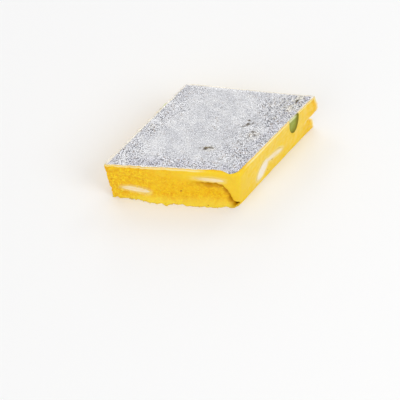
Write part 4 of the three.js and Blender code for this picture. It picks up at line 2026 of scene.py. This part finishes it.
@dataclass
class SaffronFlecks:
    """The few flecks of saffron that show in the paste."""

    plan: Plan
    sides: CutSides
    thickness: float = 0.22
    lumpiness: float = 0.5
    lump_pitch: float = 1.5

    def fleck(self, bm: BMesh, fleck: Fleck) -> None:
        """Adds one flat, uneven fleck, half sunk in the paste.

        Args:
            bm: The mesh that it joins.
            fleck: The fleck.
        """
        made = bmesh.ops.create_icosphere(bm, subdivisions=2, radius=1.0)
        if fleck.side is None:
            run, up, outward = Vector((1, 0, 0)), Vector((0, 1, 0)), Vector((0, 0, 1))
            centre = Vector((fleck.x, fleck.z, self.plan.height))
        else:
            run = self.plan.run(fleck.side).to_3d()
            up, outward = Vector((0, 0, 1)), self.plan.outward(fleck.side).to_3d()
            push = self.sides.surface(fleck.side, fleck.x, fleck.z).push
            centre = self.plan.place(fleck.side, fleck.x, fleck.z, push)
        for vert in made["verts"]:
            lump = 1.0 + self.lumpiness * noise.noise(self.lump_pitch * vert.co + centre)
            along, rise = vert.co.x * fleck.length / 2.0 * lump, vert.co.y * fleck.width / 2.0 * lump
            x, z = turned(along, rise, fleck.turn)
            vert.co = centre + run * x + up * z + outward * (vert.co.z * self.thickness / 2.0)

    def build(self) -> bpy.types.Object:
        """Builds the flecks as one mesh.

        Returns:
            The piece.
        """
        bm = bmesh.new()
        sunk: list[float] = []
        for fleck in FLECKS:
            self.fleck(bm, fleck)
            sunk += [float(fleck.side is not None)] * (len(bm.verts) - len(sunk))
        return finish_mesh("saffron_flecks", bm, {"sunk": sunk})

    def dress(self, piece: bpy.types.Object, finish: bpy.types.Material) -> None:
        """Gives the flecks their finish and their place on the body.

        Args:
            piece: The piece.
            finish: Its material.
        """
        piece.data.materials.append(finish)
        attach(piece, BODY)


@dataclass
class Crumbs:
    """Loose crumbs of paste along the broken faces and at the base."""

    plan: Plan
    sides: CutSides
    skin: BVHTree
    seed: int = 41
    foot_count: int = 90
    face_count: int = 60
    small: float = 0.12
    large: float = 0.42
    probe: float = 8.0
    cluster: int = 3
    fine_from: float = 0.25
    stretch: Span = (0.6, 1.35)
    spread: float = 9.0
    lumpiness: float = 0.7
    lump_pitch: float = 1.3
    foot_sizes: Span = (0.6, 1.0)
    foot_margins: Span = (2.0, 0.5)
    foot_level: float = 0.3
    foot_out: Span = (-0.5, 0.25)
    cluster_along: float = 1.4
    cluster_deep: float = 0.5
    cluster_sizes: Span = (0.5, 1.0)
    face_run: Span = (1.0, 38.0)
    face_rise: Span = (0.5, 8.5)
    foot_mask: float = 0.6
    foot_sink: float = 0.7
    face_large: float = 0.7
    face_sink: float = 0.5

    def crumb(self, bm: BMesh, centre: Vector, radius: float, draw: random.Random) -> None:
        """Adds one uneven crumb, with more faces where it is large enough to show them.

        Args:
            bm: The mesh that it joins.
            centre: Its middle.
            radius: Its size before it is made uneven.
            draw: Gives its random form.
        """
        made = bmesh.ops.create_icosphere(bm, subdivisions=2 if radius > self.fine_from else 1, radius=radius)
        stretch = Vector([draw.uniform(*self.stretch) for _ in range(3)])
        shift = Vector([draw.uniform(-self.spread, self.spread) for _ in range(3)])
        turn = Matrix.Rotation(draw.uniform(0.0, math.tau), 3, shift.normalized())
        for vert in made["verts"]:
            lump = 1.0 + self.lumpiness * noise.noise(self.lump_pitch * vert.co / radius + shift)
            vert.co = turn @ Vector([vert.co[i] * stretch[i] * lump for i in range(3)]) + centre

    def on_skin(self, side: Side, x: float, z: float) -> Optional[Vector]:
        """The point of the paste's skin at a place of a side.

        Args:
            side: The side.
            x: Distance along the side.
            z: Height above the base.

        Returns:
            The point, or None past the end of the skin.
        """
        start = self.plan.place(side, x, z, self.probe)
        found = self.skin.ray_cast(start, -self.plan.outward(side).to_3d())
        return found[0]

    def foot_cluster(self, bm: BMesh, draw: random.Random) -> None:
        """Drops a few crumbs together at the foot of the front side.

        Args:
            bm: The mesh that they join.
            draw: Gives their sizes and places.
        """
        radius = draw.uniform(self.small, self.large) * draw.uniform(*self.foot_sizes)
        start, margin = self.foot_margins
        foot = self.on_skin(Side.FRONT, draw.uniform(start, self.plan.front_side - margin), self.foot_level)
        if foot is None:
            return
        out = self.plan.outward(Side.FRONT).to_3d() * draw.uniform(*self.foot_out)
        for _ in range(draw.randint(1, self.cluster)):
            along = draw.uniform(-self.cluster_along, self.cluster_along) * radius
            deep = draw.uniform(-self.cluster_deep, self.cluster_deep) * radius
            size = radius * draw.uniform(*self.cluster_sizes)
            centre = Vector((foot.x, foot.y, size * self.foot_sink)) + out + Vector((along, deep, 0.0))
            self.crumb(bm, centre, size, draw)

    def face_crumb(self, bm: BMesh, draw: random.Random) -> None:
        """Presses one crumb half into the front side.

        Args:
            bm: The mesh that it joins.
            draw: Gives its size and place.
        """
        radius = draw.uniform(self.small, self.face_large * self.large)
        x, z = draw.uniform(*self.face_run), draw.uniform(*self.face_rise)
        place = self.on_skin(Side.FRONT, x, z)
        if place is not None:
            inward = -self.plan.outward(Side.FRONT).to_3d()
            self.crumb(bm, place + inward * radius * self.face_sink, radius, draw)

    def build(self) -> bpy.types.Object:
        """Scatters the crumbs and joins them into one mesh.

        Returns:
            The piece.
        """
        draw = random.Random(self.seed)
        bm = bmesh.new()
        for _ in range(self.foot_count):
            self.foot_cluster(bm, draw)
        for _ in range(self.face_count):
            self.face_crumb(bm, draw)
        for vert in bm.verts:
            vert.co.z = max(0.0, vert.co.z)
        bmesh.ops.recalc_face_normals(bm, faces=bm.faces[:])
        count = len(bm.verts)
        # The crumbs take the painted highlight of grain heads and a share of the foot's painted light
        masks = {"crumbly": [1.0] * count, "heads": [1.0] * count, "foot": [self.foot_mask] * count}
        return finish_mesh("paste_crumbs", bm, masks)

    def dress(self, piece: bpy.types.Object, finish: bpy.types.Material) -> None:
        """Gives the crumbs their finish and their place on the body.

        Args:
            piece: The piece.
            finish: Its material.
        """
        piece.data.materials.append(finish)
        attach(piece, BODY)


@dataclass(frozen=True)
class Lamp:
    """A soft square lamp, placed by its direction from the piece."""

    name: str
    azimuth: float
    elevation: float
    distance: float
    size: float
    power: float


@dataclass
class Studio:
    """The pale floor, the soft lamps, the even surroundings and the camera."""

    floor_size: float = 3.0
    floor_colour: Paint = (247, 247, 247)
    floor_roughness: float = 0.8
    surroundings: tuple[float, float, float, float] = (1.0, 1.0, 1.0, 1.0)
    surroundings_strength: float = 0.66
    lamps: tuple[Lamp, ...] = (
        Lamp("key_lamp", 60.0, 42.0, 0.6, 0.35, 0.8),
        Lamp("back_left_lamp", 222.0, 44.0, 0.7, 0.2, 0.3),
        Lamp("back_right_lamp", 150.0, 40.0, 0.7, 0.2, 0.3),
        Lamp("back_low_lamp", 188.0, 22.0, 0.7, 0.2, 0.25),
        Lamp("high_lamp", 180.0, 80.0, 0.7, 0.2, 0.3),
        Lamp("fill_lamp", -30.0, 30.0, 0.8, 0.5, 1.0),
    )
    camera_azimuth: float = 5.221
    camera_elevation: float = 50.244
    camera_distance: float = 450.0
    camera_lens: float = 129.37
    camera_aim: tuple[float, float, float] = (-2.516, -16.92, 0.0)
    camera_sensor: float = 36.0
    camera_clip: Span = (0.01, 10.0)

    def towards(self, azimuth: float, elevation: float) -> Vector:
        """The direction from the piece towards a lamp or a viewer, azimuth 0 in front of it."""
        a, e = math.radians(azimuth), math.radians(elevation)
        return Vector((math.sin(a) * math.cos(e), -math.cos(a) * math.cos(e), math.sin(e)))

    def floor(self) -> None:
        """Lays the floor."""
        bm = bmesh.new()
        bmesh.ops.create_grid(bm, x_segments=1, y_segments=1, size=self.floor_size / 2.0)
        made = placed("floor", mesh_from(bm, "floor"))
        material, kit, shader = new_material("floor_paint")
        kit.feed(shader, {"Base Color": to_linear(*self.floor_colour), "Roughness": self.floor_roughness})
        made.data.materials.append(material)

    def light(self) -> None:
        """Hangs the lamps and sets the surroundings."""
        for lamp in self.lamps:
            data = bpy.data.lights.new(lamp.name, "AREA")
            data.size = lamp.size
            data.energy = lamp.power
            made = placed(lamp.name, data)
            towards = self.towards(lamp.azimuth, lamp.elevation)
            made.location = towards * lamp.distance
            made.rotation_euler = towards.to_track_quat("Z", "Y").to_euler()
        world = bpy.data.worlds.new("studio")
        world.use_nodes = True
        background = world.node_tree.nodes["Background"]
        background.inputs["Color"].default_value = self.surroundings
        background.inputs["Strength"].default_value = self.surroundings_strength
        bpy.context.scene.world = world

    def camera(self) -> None:
        """Sets the camera at the photograph's viewing angle."""
        data = bpy.data.cameras.new("camera")
        data.lens = self.camera_lens
        data.sensor_width = self.camera_sensor
        data.clip_start, data.clip_end = self.camera_clip
        made = placed("camera", data)
        back = self.towards(self.camera_azimuth, self.camera_elevation)
        made.location = (Vector(self.camera_aim) + back * self.camera_distance) * MM
        made.rotation_euler = back.to_track_quat("Z", "Y").to_euler()
        bpy.context.scene.camera = made
        bpy.context.scene.view_settings.view_transform = "Standard"

    def build(self) -> None:
        """Builds the whole studio."""
        self.floor()
        self.light()
        self.camera()


def main() -> None:
    """Builds the piece in order and reports each part of it."""
    logging.basicConfig(level=logging.INFO, format="%(message)s")
    plan = Plan()
    sides = CutSides(plan)
    paste = PasteFinish().material()
    block = PasteBlock(plan, sides, NUTS)
    block.dress(block.build(), paste)
    finishes = {Kernel.CASHEW: CASHEW_FINISH.material(), Kernel.PISTACHIO: PISTACHIO_FINISH.material()}
    for cut in NUTS:
        nut = CutNut(cut, plan, sides)
        nut.dress(nut.build(), finishes[cut.kernel])
    leaf = SilverLeaf(plan, sides)
    leaf.dress(leaf.build(), LeafFinish().material())
    crumbs = Crumbs(plan, sides, block.skin)
    crumbs.dress(crumbs.build(), paste)
    flecks = SaffronFlecks(plan, sides)
    flecks.dress(flecks.build(), FleckFinish().material())
    Studio().build()


if __name__ == "__main__":
    main()
